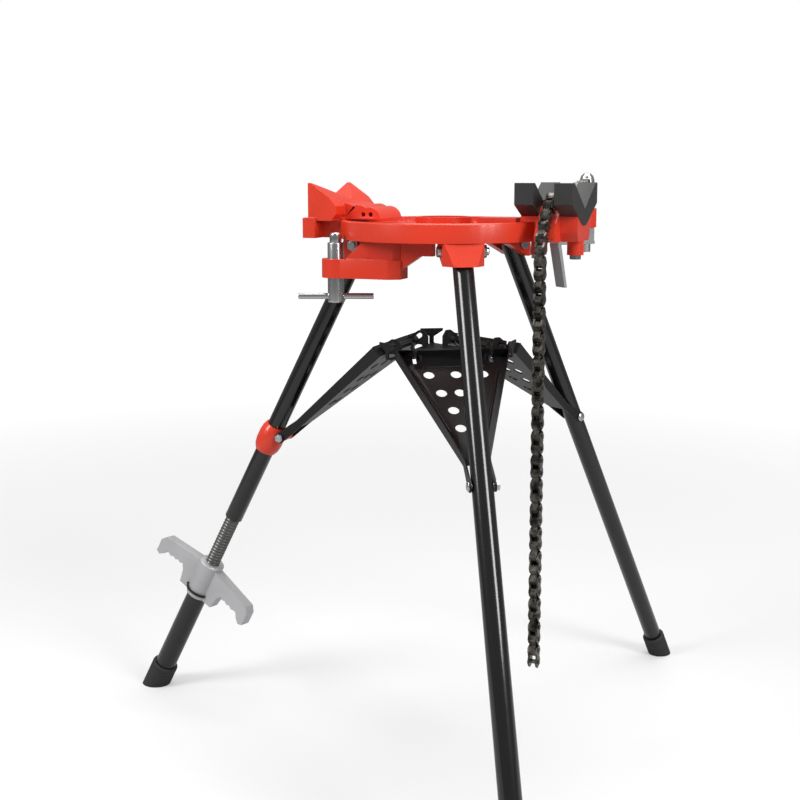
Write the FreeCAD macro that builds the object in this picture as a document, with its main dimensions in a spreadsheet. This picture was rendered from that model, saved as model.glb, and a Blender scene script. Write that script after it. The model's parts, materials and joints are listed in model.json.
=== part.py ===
"""Folding tripod stand with a chain vise, a pipe rest and a folding tool tray.

Millimetres, +Z up, floor at Z = 0, +X towards the vise, origin on the floor under the middle
of the footprint.  The pieces are drawn about the axis of the round base casting and then
moved by hub_offset along X.
"""
import FreeCAD, Part
import math
import os
import re

import Sketcher
from FreeCAD import Placement, Rotation, Vector

DOC = FreeCAD.newDocument("TripodPipeViseStand")

# ---------------------------------------------------------------- driving dimensions
SIZES = {
    # base casting
    "deck_height": (886.0, "floor to the top edge of the round base"),
    "rim_radius": (168.0, "outside radius of the round base"),
    "rim_wall": (7.0, "wall of the rim"),
    "rim_depth": (30.0, "height of the rim wall"),
    "deck_plate": (8.0, "thickness of the deck"),
    "deck_drop": (8.0, "deck below the top edge of the rim"),
    "deck_hole": (38.0, "radius of the middle hole"),
    "collar_wall": (9.0, "ring round the middle hole"),
    "pad_rise": (5.0, "top pads above the rim"),
    "pad_inset": (71.0, "middle of the front pad inwards of the rim"),
    "pad_length": (64.0, "front pad along the pipe"),
    "pad_width": (58.0, "front pad across the pipe"),
    # legs
    "leg_radius": (15.875, "outside radius of a leg tube"),
    "leg_wall": (2.6, "wall of a leg tube"),
    "leg_splay": (27.0, "degrees between a leg and the vertical"),
    "leg_above": (17.0, "rounded top of a leg tube above its pivot"),
    "pivot_inset": (20.75, "leg pivots inwards of the rim"),
    "pivot_drop": (42.6, "leg pivots below the deck height"),
    "pivot_bolt": (6.0, "radius of a leg pivot bolt"),
    "bolt_gap": (0.08, "running clearance round a pivot"),
    "leg_gap": (0.7, "side clearance between a leg and its socket"),
    "stop_gap": (0.3, "clearance between an open leg and its stop"),
    "socket_width": (64.0, "leg socket across its two cheeks"),
    "socket_nose": (34.0, "width of the nose of a socket"),
    "socket_shell": (5.2, "thickness of the stop behind an open leg"),
    "socket_low": (21.4, "lowest edge of a socket below the pivot"),
    "socket_inner": (31.0, "cheeks reach this far inwards of the pivot"),
    "bolt_head": (6.0, "height of a bolt head"),
    "bolt_button": (8.5, "radius of a pivot bolt's head"),
    "foot_wall": (5.0, "rubber round the end of a leg"),
    "foot_length": (48.0, "rubber foot along the leg"),
    "foot_seat": (16.0, "rubber under the end of a leg"),
    # rear leg
    "lower_radius": (19.05, "outside radius of the lower rear tube"),
    "lower_wall": (3.0, "wall of the lower rear tube"),
    "screw_radius": (12.9, "outside radius of the leg screw"),
    "screw_gap": (0.08, "clearance of the leg screw in its nut"),
    "screw_grip": (90.0, "leg screw inside the upper tube"),
    "screw_show": (101.0, "leg screw between the upper tube and the handle"),
    "lower_reach": (213.5, "lower tube from the handle to the floor, along the leg"),
    "handle_depth": (71.0, "height of the handle hub"),
    "handle_half": (44.0, "half width of the handle hub"),
    "handle_reach": (116.0, "half span of the handle"),
    "handle_thick": (21.0, "thickness of the handle arms"),
    "handle_turn": (-11.0, "degrees from the leg's fold plane to the handle"),
    "clip_wire": (1.7, "half thickness of the spring clip"),
    "collar_place": (388.0, "middle of the red collar from the leg pivot"),
    "collar_radius": (23.5, "outside radius of the red collar"),
    "collar_length": (52.0, "red collar along the leg"),
    "ear_offset": (22.0, "tray pivot inwards of the rear leg axis"),
    # tray
    "tray_drop": (208.0, "tray hinge line below the deck height"),
    "tray_inner": (76.0, "tray hinge line from the base axis"),
    "tray_pivot": (360.0, "tray pivots from the leg pivots, along a front leg"),
    "sheet": (2.5, "thickness of the tray sheet"),
    "panel_half": (92.0, "half width of a panel at the hub"),
    "panel_tip": (20.5, "half width of a panel at the leg"),
    "panel_lip": (20.0, "height of a folded edge of a panel at the hub"),
    "panel_low_lip": (13.0, "height of a folded edge of a panel at the leg"),
    "panel_start": (4.0, "panel sheet begins this far from the hinge line"),
    "panel_end": (46.0, "panel sheet ends this far short of the leg pivot"),
    "panel_hole": (8.6, "radius of a tray hole"),
    "ear_pin": (4.0, "radius of an ear bolt"),
    "ear_radius": (9.0, "rounded end of a panel ear"),
    "ear_inner": (17.0, "middle of the leg to an ear"),
    "hinge_pin": (3.0, "radius of a hinge pin"),
    "hinge_half": (66.0, "half length of a hinge pin"),
    "slot_in": (13.6, "hub slot inwards of the hinge line"),
    "slot_half": (3.95, "half height of a hub slot"),
    "slot_tilt": (33.8, "slope of a hub slot in degrees"),
    "hub_drop": (11.5, "underside of the hub plate below the hinge line"),
    "hub_inset": (20.0, "sides of the hub plate inwards of the hinge lines"),
    "hub_arm": (4.0, "half width of an arm between two panels"),
    "tab_reach": (118.5, "outer face of an end tab from the axis of the tray"),
    "tab_half": (20.0, "half width of an end tab"),
    "tab_top": (15.0, "top of an end tab above the hinge line"),
    "sheet_low": (7.5, "underside of a panel sheet below its pivots"),
    # pipe rest
    "rest_reach": (39.0, "back face of the pipe rest behind the rim"),
    "rest_half": (80.0, "half width of the pipe rest"),
    "rest_top": (59.0, "peaks above the deck height"),
    "rest_valley": (32.0, "bottom of the V above the deck height"),
    "rest_slope": (50.4, "length of the buttress behind a peak"),
    "rest_slab": (30.0, "underside of the rest below the deck height"),
    "rest_flange": (22.3, "thickness of the flange under the rest"),
    "bender_radius": (24.0, "radius of the rear bender lobe"),
    "bender_front": (21.0, "radius of the other bender lobes"),
    "bender_half": (46.0, "half width of the bender lobes"),
    # ceiling brace
    "brace_reach": (15.1, "brace screw outwards of the rim"),
    "brace_angle": (40.1, "degrees from the pipe's direction to the brace screw"),
    "brace_radius": (13.0, "radius of the brace screw"),
    "brace_gap": (0.08, "clearance of the brace screw in its nut"),
    "brace_boss": (22.0, "radius of the brace nut boss"),
    "brace_top": (59.0, "top of the boss below the deck height"),
    "brace_depth": (30.0, "height of the boss"),
    "brace_cap": (9.5, "radius of the brace cap"),
    "brace_peg": (4.0, "radius of the peg under the brace cap"),
    "brace_stand": (25.0, "screw between boss and cap"),
    "brace_tail": (40.0, "screw below the boss"),
    "brace_bar": (4.8, "radius of the T bar"),
    "brace_bar_half": (60.0, "half length of the T bar"),
    "brace_bar_turn": (21.8, "degrees from the pipe's direction to the T bar"),
    # vise
    "head_half": (42.0, "half width of the lower vise head"),
    "jaw_half": (82.5, "half width of a jaw"),
    "jaw_length": (29.5, "jaw along the pipe"),
    "jaw_inset": (26.5, "back of the rear jaw inwards of the rim"),
    "jaw_gap": (32.0, "clear space between the jaws"),
    "jaw_top": (60.0, "jaw top above the deck height"),
    "jaw_horn": (11.0, "flat on top of a jaw horn"),
    "jaw_side": (33.0, "upright side of a jaw"),
    "jaw_valley": (39.5, "depth of the V in a jaw"),
    "jaw_height": (65.8, "jaw from its top to its lowest point"),
    "jaw_tip": (9.0, "half width of the flat under a jaw"),
    "jaw_bolt": (5.0, "radius of a jaw bolt"),
    "jaw_boss_drop": (52.0, "jaw bolt bosses below the deck height"),
    "post_behind": (8.0, "chain screw behind the front jaw"),
    "post_y": (170.0, "chain screw from the base axis, across the pipe"),
    "post_radius": (8.0, "radius of the chain screw"),
    "post_boss": (17.0, "radius of the chain screw's guide"),
    "post_gap": (0.08, "clearance of the chain screw in its guide"),
    "crank_arm": (65.0, "crank handle from the chain screw"),
    "crank_drop": (72.0, "length of the crank handle"),
    "crank_width": (24.0, "width of the crank bar"),
    "crank_bar": (5.5, "thickness of the crank bar"),
    "crank_turn": (52.0, "degrees from the pipe's direction to the crank"),
    # chain
    "pitch": (19.05, "pin to pin along the chain"),
    "plate_height": (20.4, "height of a chain plate"),
    "plate_waist": (12.0, "height of a chain plate at its waist"),
    "plate": (2.9, "thickness of a chain plate"),
    "inner_half": (1.7, "middle of the chain to an inner plate"),
    "plate_gap": (0.05, "clearance between chain plates"),
    "chain_pin": (3.4, "radius of a chain pin"),
    "chain_pin_half": (9.6, "half length of a chain pin"),
    "chain_end": (218.0, "lowest chain pin above the floor"),
    "chain_out": (-96.0, "hanging chain from the base axis, across the pipe"),
    "chain_free": (2.2, "clearance of the pin between the first two runs of chain"),
    "lead_links": (3, "links between the chain screw and the first fold"),
}

# sizes that follow from those above
TIES = {
    "pivot_radius": ("rim_radius - pivot_inset", "leg pivots from the base axis"),
    "pad_place": ("rim_radius - pad_inset", "middle of the front pad from the base axis"),
    "leg_long": ("(deck_height - pivot_drop) / cos(leg_splay)", "pivot to floor along a leg"),
    "screw_inside": ("lower_reach - foot_seat - screw_show + 1.5", "leg screw below the handle"),
    "handle_top": ("leg_long - lower_reach - handle_depth", "top of the leg handle from the pivot"),
    "upper_tube": ("handle_top - screw_show", "rear tube below its pivot"),
    "tray_height": ("deck_height - tray_drop", "tray hinge line above the floor"),
    "hub_side": ("tray_inner - hub_inset", "sides of the hub plate from the tray's axis"),
    "rest_place": ("-rim_radius - rest_reach", "back face of the pipe rest"),
    "brace_x": ("-(rim_radius + brace_reach) * cos(brace_angle)", "brace screw, along the pipe"),
    "brace_y": ("-(rim_radius + brace_reach) * sin(brace_angle)", "brace screw, across the pipe"),
    "jaw_rear": ("rim_radius - jaw_inset", "back of the rear jaw"),
    "jaw_front": ("jaw_rear + jaw_length + jaw_gap", "back of the front jaw"),
    "head_start": ("jaw_rear - 1", "rear end of the vise head"),
    "head_end": ("jaw_front + jaw_length - 2", "front end of the vise head"),
    "post_x": ("jaw_front - post_behind", "chain screw from the base axis, along the pipe"),
    "chain_x": ("jaw_front - jaw_gap / 2 + 0.3", "hanging chain from the base axis, along the pipe"),
}

sheet = DOC.addObject("Spreadsheet::Sheet", "Sizes")
for name, (formula, note) in TIES.items():
    SIZES[name] = ("=" + formula, note)
for row, (name, (number, note)) in enumerate(SIZES.items(), 1):
    sheet.set("A%d" % row, name)
    sheet.set("B%d" % row, str(number))
    sheet.set("C%d" % row, note)
    sheet.setAlias("B%d" % row, name)
DOC.recompute()

WORD = re.compile(r"[A-Za-z_]\w*")


def tied(formula):
    """The formula with each size written as a cell of the sheet."""
    return WORD.sub(lambda m: "Sizes." + m.group(0) if m.group(0) in SIZES else m.group(0), str(formula))


def worth(formula):
    """What a formula of sizes comes to now."""
    answer = sheet.evalExpression(str(formula))
    return float(getattr(answer, "Value", answer))


def bind(thing, prop, formula):
    """Ties a property of an object to the sheet."""
    thing.setExpression(prop, tied(formula))


# ---------------------------------------------------------------- drawing helpers
def origin_plane(body, role):
    return [part for part in body.Origin.OriginFeatures if part.Role == role][0]


def outline(body, plane, corners, level):
    """A closed sketch on one of the body's own planes, each corner tied to two formulas."""
    sketch = body.newObject("Sketcher::SketchObject", body.Name + "Sketch")
    sketch.AttachmentSupport = [(origin_plane(body, plane + "_Plane"), "")]
    sketch.MapMode = "FlatFace"
    bind(sketch, ".AttachmentOffset.Base.z", level)
    points = [Vector(worth(x), worth(y), 0) for x, y in corners]
    count = len(points)
    for i in range(count):
        sketch.addGeometry(Part.LineSegment(points[i], points[(i + 1) % count]), False)
    for i in range(count):
        sketch.addConstraint(Sketcher.Constraint("Coincident", i, 2, (i + 1) % count, 1))
    for i, corner in enumerate(corners):
        for kind, formula in zip(("DistanceX", "DistanceY"), corner):
            tie = sketch.addConstraint(Sketcher.Constraint(kind, -1, 1, i, 1, worth(formula)))
            bind(sketch, "Constraints[%d]" % tie, formula)
    return sketch


def prism(name, plane, corners, low, high):
    """A body padded between two levels along the plane's normal: X of YZ, Y of XZ, Z of XY."""
    body = DOC.addObject("PartDesign::Body", name)
    level = "-(%s)" % high if plane == "XZ" else low
    sketch = outline(body, plane, corners, level)
    pad = body.newObject("PartDesign::Pad", name + "Pad")
    pad.Profile = sketch
    bind(pad, "Length", "(%s) - (%s)" % (high, low))
    body.Tip = pad
    return body


def turned(name, corners):
    """A body of revolution about Z, its profile drawn as radius and height."""
    body = DOC.addObject("PartDesign::Body", name)
    sketch = outline(body, "XZ", corners, "0")
    spin = body.newObject("PartDesign::Revolution", name + "Turn")
    spin.Profile = sketch
    spin.ReferenceAxis = (sketch, ["V_Axis"])
    spin.Angle = 360
    body.Tip = spin
    return body


def place(thing, x="0", y="0", z="0"):
    for axis, formula in zip("xyz", (x, y, z)):
        bind(thing, ".Placement.Base." + axis, formula)
    return thing


AXIS_TURN = {"Z": Rotation(), "X": Rotation(Vector(0, 1, 0), 90), "Y": Rotation(Vector(1, 0, 0), -90)}


def rod(name, radius, low, high, axis="Z", x="0", y="0", z="0"):
    """A cylinder along an axis between two levels, about a line through x, y, z."""
    thing = DOC.addObject("Part::Cylinder", name)
    thing.Placement = Placement(Vector(), AXIS_TURN[axis])
    bind(thing, "Radius", radius)
    bind(thing, "Height", "(%s) - (%s)" % (high, low))
    start = {"X": (low, y, z), "Y": (x, low, z), "Z": (x, y, low)}[axis]
    return place(thing, *start)


def block(name, low, high):
    """A box between two corners, each corner three formulas."""
    thing = DOC.addObject("Part::Box", name)
    for prop, a, b in zip(("Length", "Width", "Height"), low, high):
        bind(thing, prop, "(%s) - (%s)" % (b, a))
    return place(thing, *low)


def fused(name, *parts):
    thing = DOC.addObject("Part::MultiFuse", name)
    thing.Shapes = list(parts)
    thing.Refine = True
    return thing


def cut(name, base, *tools):
    thing = DOC.addObject("Part::Cut", name)
    thing.Base = base
    thing.Tool = tools[0] if len(tools) == 1 else fused(name + "Tools", *tools)
    thing.Refine = True
    return thing


def common(name, first, second):
    thing = DOC.addObject("Part::Common", name)
    thing.Base = first
    thing.Tool = second
    thing.Refine = True
    return thing


def filleted(name, base, radius, chosen):
    """Rounds the edges of a finished shape that the test picks."""
    DOC.recompute()
    thing = DOC.addObject("Part::Fillet", name)
    thing.Base = base
    edges = [(i, radius, radius) for i, edge in enumerate(base.Shape.Edges, 1) if chosen(edge)]
    thing.Edges = edges
    return thing


def upright(edge):
    """True for a straight edge along Z."""
    ends = [vertex.Point for vertex in edge.Vertexes]
    return len(ends) == 2 and abs(ends[0].x - ends[1].x) + abs(ends[0].y - ends[1].y) < 1e-6


def group(name, *parts):
    thing = DOC.addObject("Part::Compound", name)
    thing.Links = list(parts)
    return thing


def wheel_points(radius, count, x="0", y="0", first=0.0):
    """Corners of a regular polygon, as formulas."""
    corners = []
    for i in range(count):
        angle = first + 360.0 * i / count
        corners.append(("%s + (%s) * cos(%g)" % (x, radius, angle), "%s + (%s) * sin(%g)" % (y, radius, angle)))
    return corners


def hexagon(name, flats, low, high):
    """A hexagonal bolt head or nut along Z."""
    return prism(name, "XY", wheel_points("(%s) / sqrt(3)" % flats, 6), low, high)


NODES = []


def node(label, thing, placement=None):
    """Names a finished piece; every piece is moved from the base axis to the row's frame."""
    thing.Label = label
    frame = placement or Placement()
    thing.Placement = Placement(Vector(HUB, 0, 0), Rotation()) * frame * thing.Placement
    NODES.append(thing)
    return thing


# ---------------------------------------------------------------- derived places
SPLAY = worth("leg_splay")
SIN, COS = math.sin(math.radians(SPLAY)), math.cos(math.radians(SPLAY))
PIVOT_Z = worth("deck_height - pivot_drop")
LEG_LENGTH = PIVOT_Z / COS
FOOT_REACH = worth("pivot_radius") + PIVOT_Z * SIN / COS
LEG_LONG = "leg_long"
LEGS = {"right": -60.0, "left": 60.0, "rear": 180.0}


def footprint(radius, lean):
    """Reach of a foot's round edge along a direction at an angle to the leg's fold plane."""
    across = radius / COS * math.cos(math.radians(lean))
    return math.hypot(across, radius * math.sin(math.radians(lean)))


FRONT_FOOT = worth("leg_radius + foot_wall")
REAR_FOOT = worth("lower_radius + foot_wall")
FRONT_X = FOOT_REACH / 2 + footprint(FRONT_FOOT, 60)
REAR_X = FOOT_REACH + footprint(REAR_FOOT, 0)
HUB = (REAR_X - FRONT_X) / 2


def leg_frame(azimuth):
    """From a frame at the pivot with Z up the leg and X outwards to the base frame."""
    swing = Placement(Vector(), Rotation(Vector(0, 0, 1), azimuth))
    lean = Placement(Vector(worth("pivot_radius"), 0, PIVOT_Z), Rotation(Vector(0, 1, 0), -SPLAY))
    return swing * lean


# ---------------------------------------------------------------- base casting
UNDER = "deck_height - deck_drop - deck_plate"
RIM_LOW = "deck_height - rim_depth"
WALL = "rim_radius - rim_wall"
JAW_TOP = "deck_height + jaw_top"
JAW_LOW = "deck_height + jaw_top - jaw_height"
SEAT_EDGE = "deck_height + jaw_top - jaw_height + (jaw_height - jaw_side)"
SEAT_EDGE += " * (head_half - jaw_tip) / (jaw_half - jaw_tip)"
JAW_BOLTS = ("jaw_rear + jaw_length / 2", "jaw_front + jaw_length / 2")
SHELL = "(leg_radius + stop_gap + socket_shell) / cos(leg_splay)"


def leg_socket(tag):
    """Two cheeks and the stop between them, hung under the deck."""
    low = "deck_height - pivot_drop - socket_low"
    nose = "pivot_radius + tan(leg_splay) * socket_low + " + SHELL
    brow = "pivot_radius - tan(leg_splay) * (pivot_drop - rim_depth) + " + SHELL
    inner = "pivot_radius - socket_inner"
    side = prism("SocketSide" + tag, "XZ", [
        (inner, UNDER), (inner, "deck_height - pivot_drop"), ("pivot_radius + 12", low), (nose, low),
        (brow, RIM_LOW), (WALL + " + 1", RIM_LOW), (WALL + " + 1", UNDER)],
        "-socket_width / 2", "socket_width / 2")
    plan = prism("SocketPlan" + tag, "XY", [
        (inner + " - 1", "-socket_width / 2"), ("rim_radius - 6", "-socket_width / 2"),
        (nose + " + 1", "-socket_nose / 2"), (nose + " + 1", "socket_nose / 2"),
        ("rim_radius - 6", "socket_width / 2"), (inner + " - 1", "socket_width / 2")],
        low + " - 1", UNDER + " + 1")
    return common("Socket" + tag, side, plan)


def leg_room(tag):
    """The space a leg and its bolt take up in a socket, in the leg's own frame."""
    swing = "leg_above + stop_gap"
    across = "leg_radius + leg_gap"
    slot = block("LegSlot" + tag, ("-socket_inner - 60", "-(%s)" % across, "-120"),
                 ("leg_radius + stop_gap", across, "0"))
    inward = block("LegSlotTop" + tag, ("-socket_inner - 60", "-(%s)" % across, "-1"),
                   ("0", across, swing))
    top = rod("LegSwing" + tag, swing, "-(%s)" % across, across, "Y")
    bore = rod("PivotBore" + tag, "pivot_bolt + bolt_gap", "-socket_width", "socket_width", "Y")
    return fused("LegRoom" + tag, slot, inward, top, bore)


def base_tray():
    """The round base: rim, deck, ring round the middle hole, front pad and three leg sockets."""
    ring = "deck_hole + collar_wall"
    dish = turned("Dish", [
        ("deck_hole", RIM_LOW + " + 8"), (ring, RIM_LOW + " + 8"), (ring, UNDER), (WALL, UNDER),
        (WALL, RIM_LOW), ("rim_radius", RIM_LOW), ("rim_radius", "deck_height - 2"),
        ("rim_radius - 2", "deck_height"), (WALL, "deck_height"), (WALL, "deck_height - deck_drop"),
        (ring, "deck_height - deck_drop"), (ring, "deck_height + pad_rise"),
        ("deck_hole", "deck_height + pad_rise")])
    pad = block("FrontPad", ("pad_place - pad_length / 2", "-pad_width / 2", UNDER),
                ("pad_place + pad_length / 2", "pad_width / 2", "deck_height + pad_rise"))
    sockets = []
    rooms = []
    for side_name, azimuth in LEGS.items():
        socket = leg_socket("_" + side_name)
        socket.Placement = Placement(Vector(), Rotation(Vector(0, 0, 1), azimuth))
        room = leg_room("_" + side_name)
        room.Placement = leg_frame(azimuth)
        sockets.append(socket)
        rooms.append(room)
    boss = rod("JawBossRear", "rim_radius - jaw_rear - jaw_length / 2 - 2", "deck_height - jaw_boss_drop",
               UNDER + " + 1", x=JAW_BOLTS[0])
    bolt_room = rod("JawBoltRoom", "jaw_bolt", "deck_height - 80", "deck_height + 20", x=JAW_BOLTS[0])
    whole = fused("BaseWhole", dish, pad, boss, *sockets)
    jaw_room = jaw_block("JawRoom", "jaw_rear")
    return node("base_tray", cut("BaseTray", whole, bolt_room, jaw_room, *rooms))


def pivot_bolts():
    """Three bolts with a head at one end and a nut at the other, across the sockets."""
    parts = []
    for side_name, azimuth in LEGS.items():
        tag = "_" + side_name
        shank = rod("PivotShank" + tag, "pivot_bolt", "-socket_width / 2 - bolt_head",
                    "socket_width / 2 + bolt_head + 4")
        head = rod("PivotHead" + tag, "bolt_button", "-socket_width / 2 - bolt_head", "-socket_width / 2")
        nut = hexagon("PivotNut" + tag, "pivot_bolt * 3", "socket_width / 2",
                      "socket_width / 2 + bolt_head")
        bolt = fused("PivotBolt" + tag, shank, head, nut)
        bolt.Placement = leg_frame(azimuth) * Placement(Vector(), AXIS_TURN["Y"])
        parts.append(bolt)
    return node("leg_pivot_bolts", group("PivotBolts", *parts))


# ---------------------------------------------------------------- legs
def tube_with_round_top(tag, length):
    """A tube along -Z whose top is rounded about the pivot, with the pivot's cross bore."""
    outer = rod("TubeOut" + tag, "leg_radius", "-(%s)" % length, "0")
    tip = rod("TubeTip" + tag, "leg_radius", "-1", "leg_above + 1")
    round_top = rod("TubeRound" + tag, "leg_above", "-leg_radius - 1", "leg_radius + 1", "Y")
    whole = fused("TubeWhole" + tag, outer, common("TubeEnd" + tag, tip, round_top))
    bore = rod("TubeBore" + tag, "leg_radius - leg_wall", "-(%s) - 1" % length, "leg_above + 2")
    cross = rod("TubeCross" + tag, "pivot_bolt + bolt_gap", "-leg_radius - 5", "leg_radius + 5", "Y")
    return whole, [bore, cross]


def foot(tag, radius):
    """A rubber boot round the end of a leg, cut off level with the floor."""
    body = turned("Foot" + tag, [
        ("0", "-%s - 30" % LEG_LONG), ("%s + foot_wall" % radius, "-%s - 30" % LEG_LONG),
        ("%s + foot_wall" % radius, "-%s + foot_length - 4" % LEG_LONG),
        ("%s + foot_wall - 1.5" % radius, "-%s + foot_length" % LEG_LONG),
        (radius, "-%s + foot_length" % LEG_LONG), (radius, "-%s + foot_seat" % LEG_LONG),
        ("0", "-%s + foot_seat" % LEG_LONG)])
    floor = DOC.addObject("Part::Box", "Floor" + tag)
    span = 2 * worth("foot_length + foot_seat + %s" % radius)
    floor.Length = floor.Width = floor.Height = span
    azimuth = LEGS[tag.strip("_")]
    floor.Placement = leg_frame(azimuth).inverse() * Placement(
        Vector(FOOT_REACH * math.cos(math.radians(azimuth)) - span / 2,
               FOOT_REACH * math.sin(math.radians(azimuth)) - span / 2, -span), Rotation())
    return node("foot" + tag, cut("FootCut" + tag, body, floor), leg_frame(azimuth))


def front_leg(side_name):
    tag = "_" + side_name
    whole, tools = tube_with_round_top(tag, LEG_LONG + " - foot_seat")
    ear_bore = rod("EarBore" + tag, "ear_pin + bolt_gap", "-leg_radius - 5", "leg_radius + 5", "Y",
                   z="-tray_pivot")
    tube = node("leg" + tag, cut("Leg" + tag, whole, ear_bore, *tools), leg_frame(LEGS[side_name]))
    return tube, foot(tag, "leg_radius")


# place along the rear leg where a panel of the same length meets the lug of the collar
_start = (worth("pivot_radius - ear_offset * cos(leg_splay)") - worth("tray_inner"),
          worth("deck_height - pivot_drop - ear_offset * sin(leg_splay)") - worth("tray_height"))
_front = (worth("pivot_radius + tray_pivot * sin(leg_splay)") - worth("tray_inner"),
          worth("deck_height - pivot_drop - tray_pivot * cos(leg_splay)") - worth("tray_height"))
PANEL = math.hypot(*_front)
_along = _start[0] * SIN - _start[1] * COS
REAR_PIVOT = -_along + math.sqrt(_along ** 2 - (_start[0] ** 2 + _start[1] ** 2 - PANEL ** 2))
REAR_END = (_start[0] + REAR_PIVOT * SIN, _start[1] - REAR_PIVOT * COS)


def rear_leg():
    """Upper tube, collar with its lug, screw, wing nut with a spring clip, lower tube and foot."""
    frame = leg_frame(LEGS["rear"])
    whole, tools = tube_with_round_top("_rear", "upper_tube")
    made = [node("leg_rear", cut("Leg_rear", whole, *tools), frame)]

    mid = "-collar_place"
    barrel = turned("CollarBarrel", [
        ("leg_radius", "%s - collar_length / 2" % mid), ("collar_radius - 5", "%s - collar_length / 2" % mid),
        ("collar_radius - 1.5", "%s - collar_length / 2 + 8" % mid), ("collar_radius", "%s - 8" % mid),
        ("collar_radius", "%s + 8" % mid), ("collar_radius - 1.5", "%s + collar_length / 2 - 8" % mid),
        ("collar_radius - 5", "%s + collar_length / 2" % mid), ("leg_radius", "%s + collar_length / 2" % mid)])
    lug = block("CollarLug", ("-ear_offset", "-ear_inner + 0.5", "%g - 8" % -REAR_PIVOT),
                ("-leg_radius - 0.5", "ear_inner - 0.5", "%g + 8" % -REAR_PIVOT))
    lug_end = rod("CollarLugEnd", "8", "-ear_inner + 0.5", "ear_inner - 0.5", "Y",
                  x="-ear_offset", z="%g" % -REAR_PIVOT)
    room_near = rod("EarRoomNear", "ear_radius + 0.6", "ear_inner - 0.5", "ear_inner + 20", "Y",
                    x="-ear_offset", z="%g" % -REAR_PIVOT)
    room_far = rod("EarRoomFar", "ear_radius + 0.6", "-ear_inner - 20", "-ear_inner + 0.5", "Y",
                   x="-ear_offset", z="%g" % -REAR_PIVOT)
    ear_bore = rod("CollarBore", "ear_pin + bolt_gap", "-ear_inner - 5", "ear_inner + 5", "Y",
                   x="-ear_offset", z="%g" % -REAR_PIVOT)
    tube_room = rod("CollarRoom", "leg_radius", "-upper_tube", "0")
    screw_turn = Rotation(Vector(0, 0, 1), -95) * AXIS_TURN["X"]
    screw_at = Placement(Vector(0, 0, -worth("collar_place - 8")), screw_turn)
    screw_bore = rod("CollarScrewBore", "4", "10", "40")
    screw_room = group("CollarScrewRoom", screw_bore)
    screw_room.Placement = screw_at
    collar = cut("Collar", fused("CollarSum", barrel, lug, lug_end),
                 room_near, room_far, ear_bore, tube_room, screw_room)
    made.append(node("rear_collar", collar, frame))
    screw = turned("CollarScrew", [
        ("0", "leg_radius"), ("4", "leg_radius"), ("4", "collar_radius + 1"), ("6.5", "collar_radius + 1"),
        ("6.5", "collar_radius + 3.5"), ("5", "collar_radius + 5"), ("0", "collar_radius + 5")])
    made.append(node("collar_screw", group("CollarScrewPlaced", screw), frame * screw_at))

    thread = turned("LegScrew", [
        ("0", "-upper_tube + screw_grip"), ("leg_radius - leg_wall", "-upper_tube + screw_grip"),
        ("leg_radius - leg_wall", "-upper_tube"), ("screw_radius", "-upper_tube"),
        ("screw_radius", "-handle_top - handle_depth - screw_inside"),
        ("0", "-handle_top - handle_depth - screw_inside")])
    made.append(node("rear_leg_screw", thread, frame))

    top = "-handle_top"
    low = "-handle_top - handle_depth"
    wing = []
    for x, z in (("handle_half - 3", low), ("handle_half + 1", low + " + 22"),
                 ("handle_half + 8", low + " + 33"), ("handle_half + 14", low + " + 29.5"),
                 ("handle_half + 20", low + " + 32"), ("handle_half + 26", low + " + 28.5"),
                 ("handle_half + 32", low + " + 31"), ("handle_half + 38", low + " + 27.5"),
                 ("handle_half + 46", low + " + 30"), ("handle_reach - 22", low + " + 29"),
                 ("handle_reach - 16", low + " + 20"), ("handle_reach - 8", low + " + 14"),
                 ("handle_reach", low + " + 17"), ("handle_reach", low + " + 42"),
                 ("handle_reach - 8", low + " + 52"), ("screw_radius + 9", top + " - 7")):
        wing.append((x, z))
    corners = wing + [("-(%s)" % x, z) for x, z in reversed(wing)]
    arms = prism("HandleArms", "XZ", corners, "-handle_thick / 2", "handle_thick / 2")
    hub = turned("HandleHub", [("0", low), ("screw_radius + 10", low), ("screw_radius + 10", top + " - 2"),
                               ("screw_radius + 8", top), ("0", top)])
    spigot = rod("HandleSpigot", "lower_radius - lower_wall - bolt_gap", low + " - 18", low + " + 1")
    bore = rod("HandleBore", "screw_radius + screw_gap", low + " - 30", top + " + 1")
    wire_reach = "screw_radius + 10 + clip_wire + 0.4"
    wire_z = low + " + 10"
    posts = [rod("ClipBore%d" % i, "clip_wire + 0.4", "handle_thick / 2 - 3", "handle_thick / 2 + 4", "Y",
                 x=side + "(%s) * cos(28)" % wire_reach, z=wire_z) for i, side in enumerate(("", "-"))]
    handle = cut("Handle", fused("HandleSum", arms, hub, spigot), bore, *posts)
    turn = Placement(Vector(), Rotation(Vector(0, 0, 1), worth("handle_turn")))
    made.append(node("rear_leg_handle", handle, frame * turn))
    bend = []
    for reach, step in ((wire_reach + " + clip_wire", 4), (wire_reach + " - clip_wire", -4)):
        sweep = range(28, 153, 4) if step > 0 else range(152, 27, -4)
        bend += [("(%s) * cos(%d)" % (reach, a), "(%s) * sin(%d)" % (reach, a)) for a in sweep]
    arc = prism("ClipArc", "XY", bend, wire_z + " - clip_wire", wire_z + " + clip_wire")
    legs = [rod("ClipLeg%d" % i, "clip_wire + 0.4", "handle_thick / 2 - 3", "handle_thick / 2 + 3", "Y",
                x=side + "(%s) * cos(28)" % wire_reach, z=wire_z) for i, side in enumerate(("", "-"))]
    made.append(node("handle_clip", fused("Clip", arc, *legs), frame * turn))

    lower = turned("LowerTube", [
        ("lower_radius - lower_wall", low + " - 0.1"), ("lower_radius", low + " - 0.1"),
        ("lower_radius", "-%s + foot_seat" % LEG_LONG),
        ("lower_radius - lower_wall", "-%s + foot_seat" % LEG_LONG)])
    made.append(node("rear_leg_lower", lower, frame))
    made.append(foot("_rear", "lower_radius"))
    return made


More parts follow.
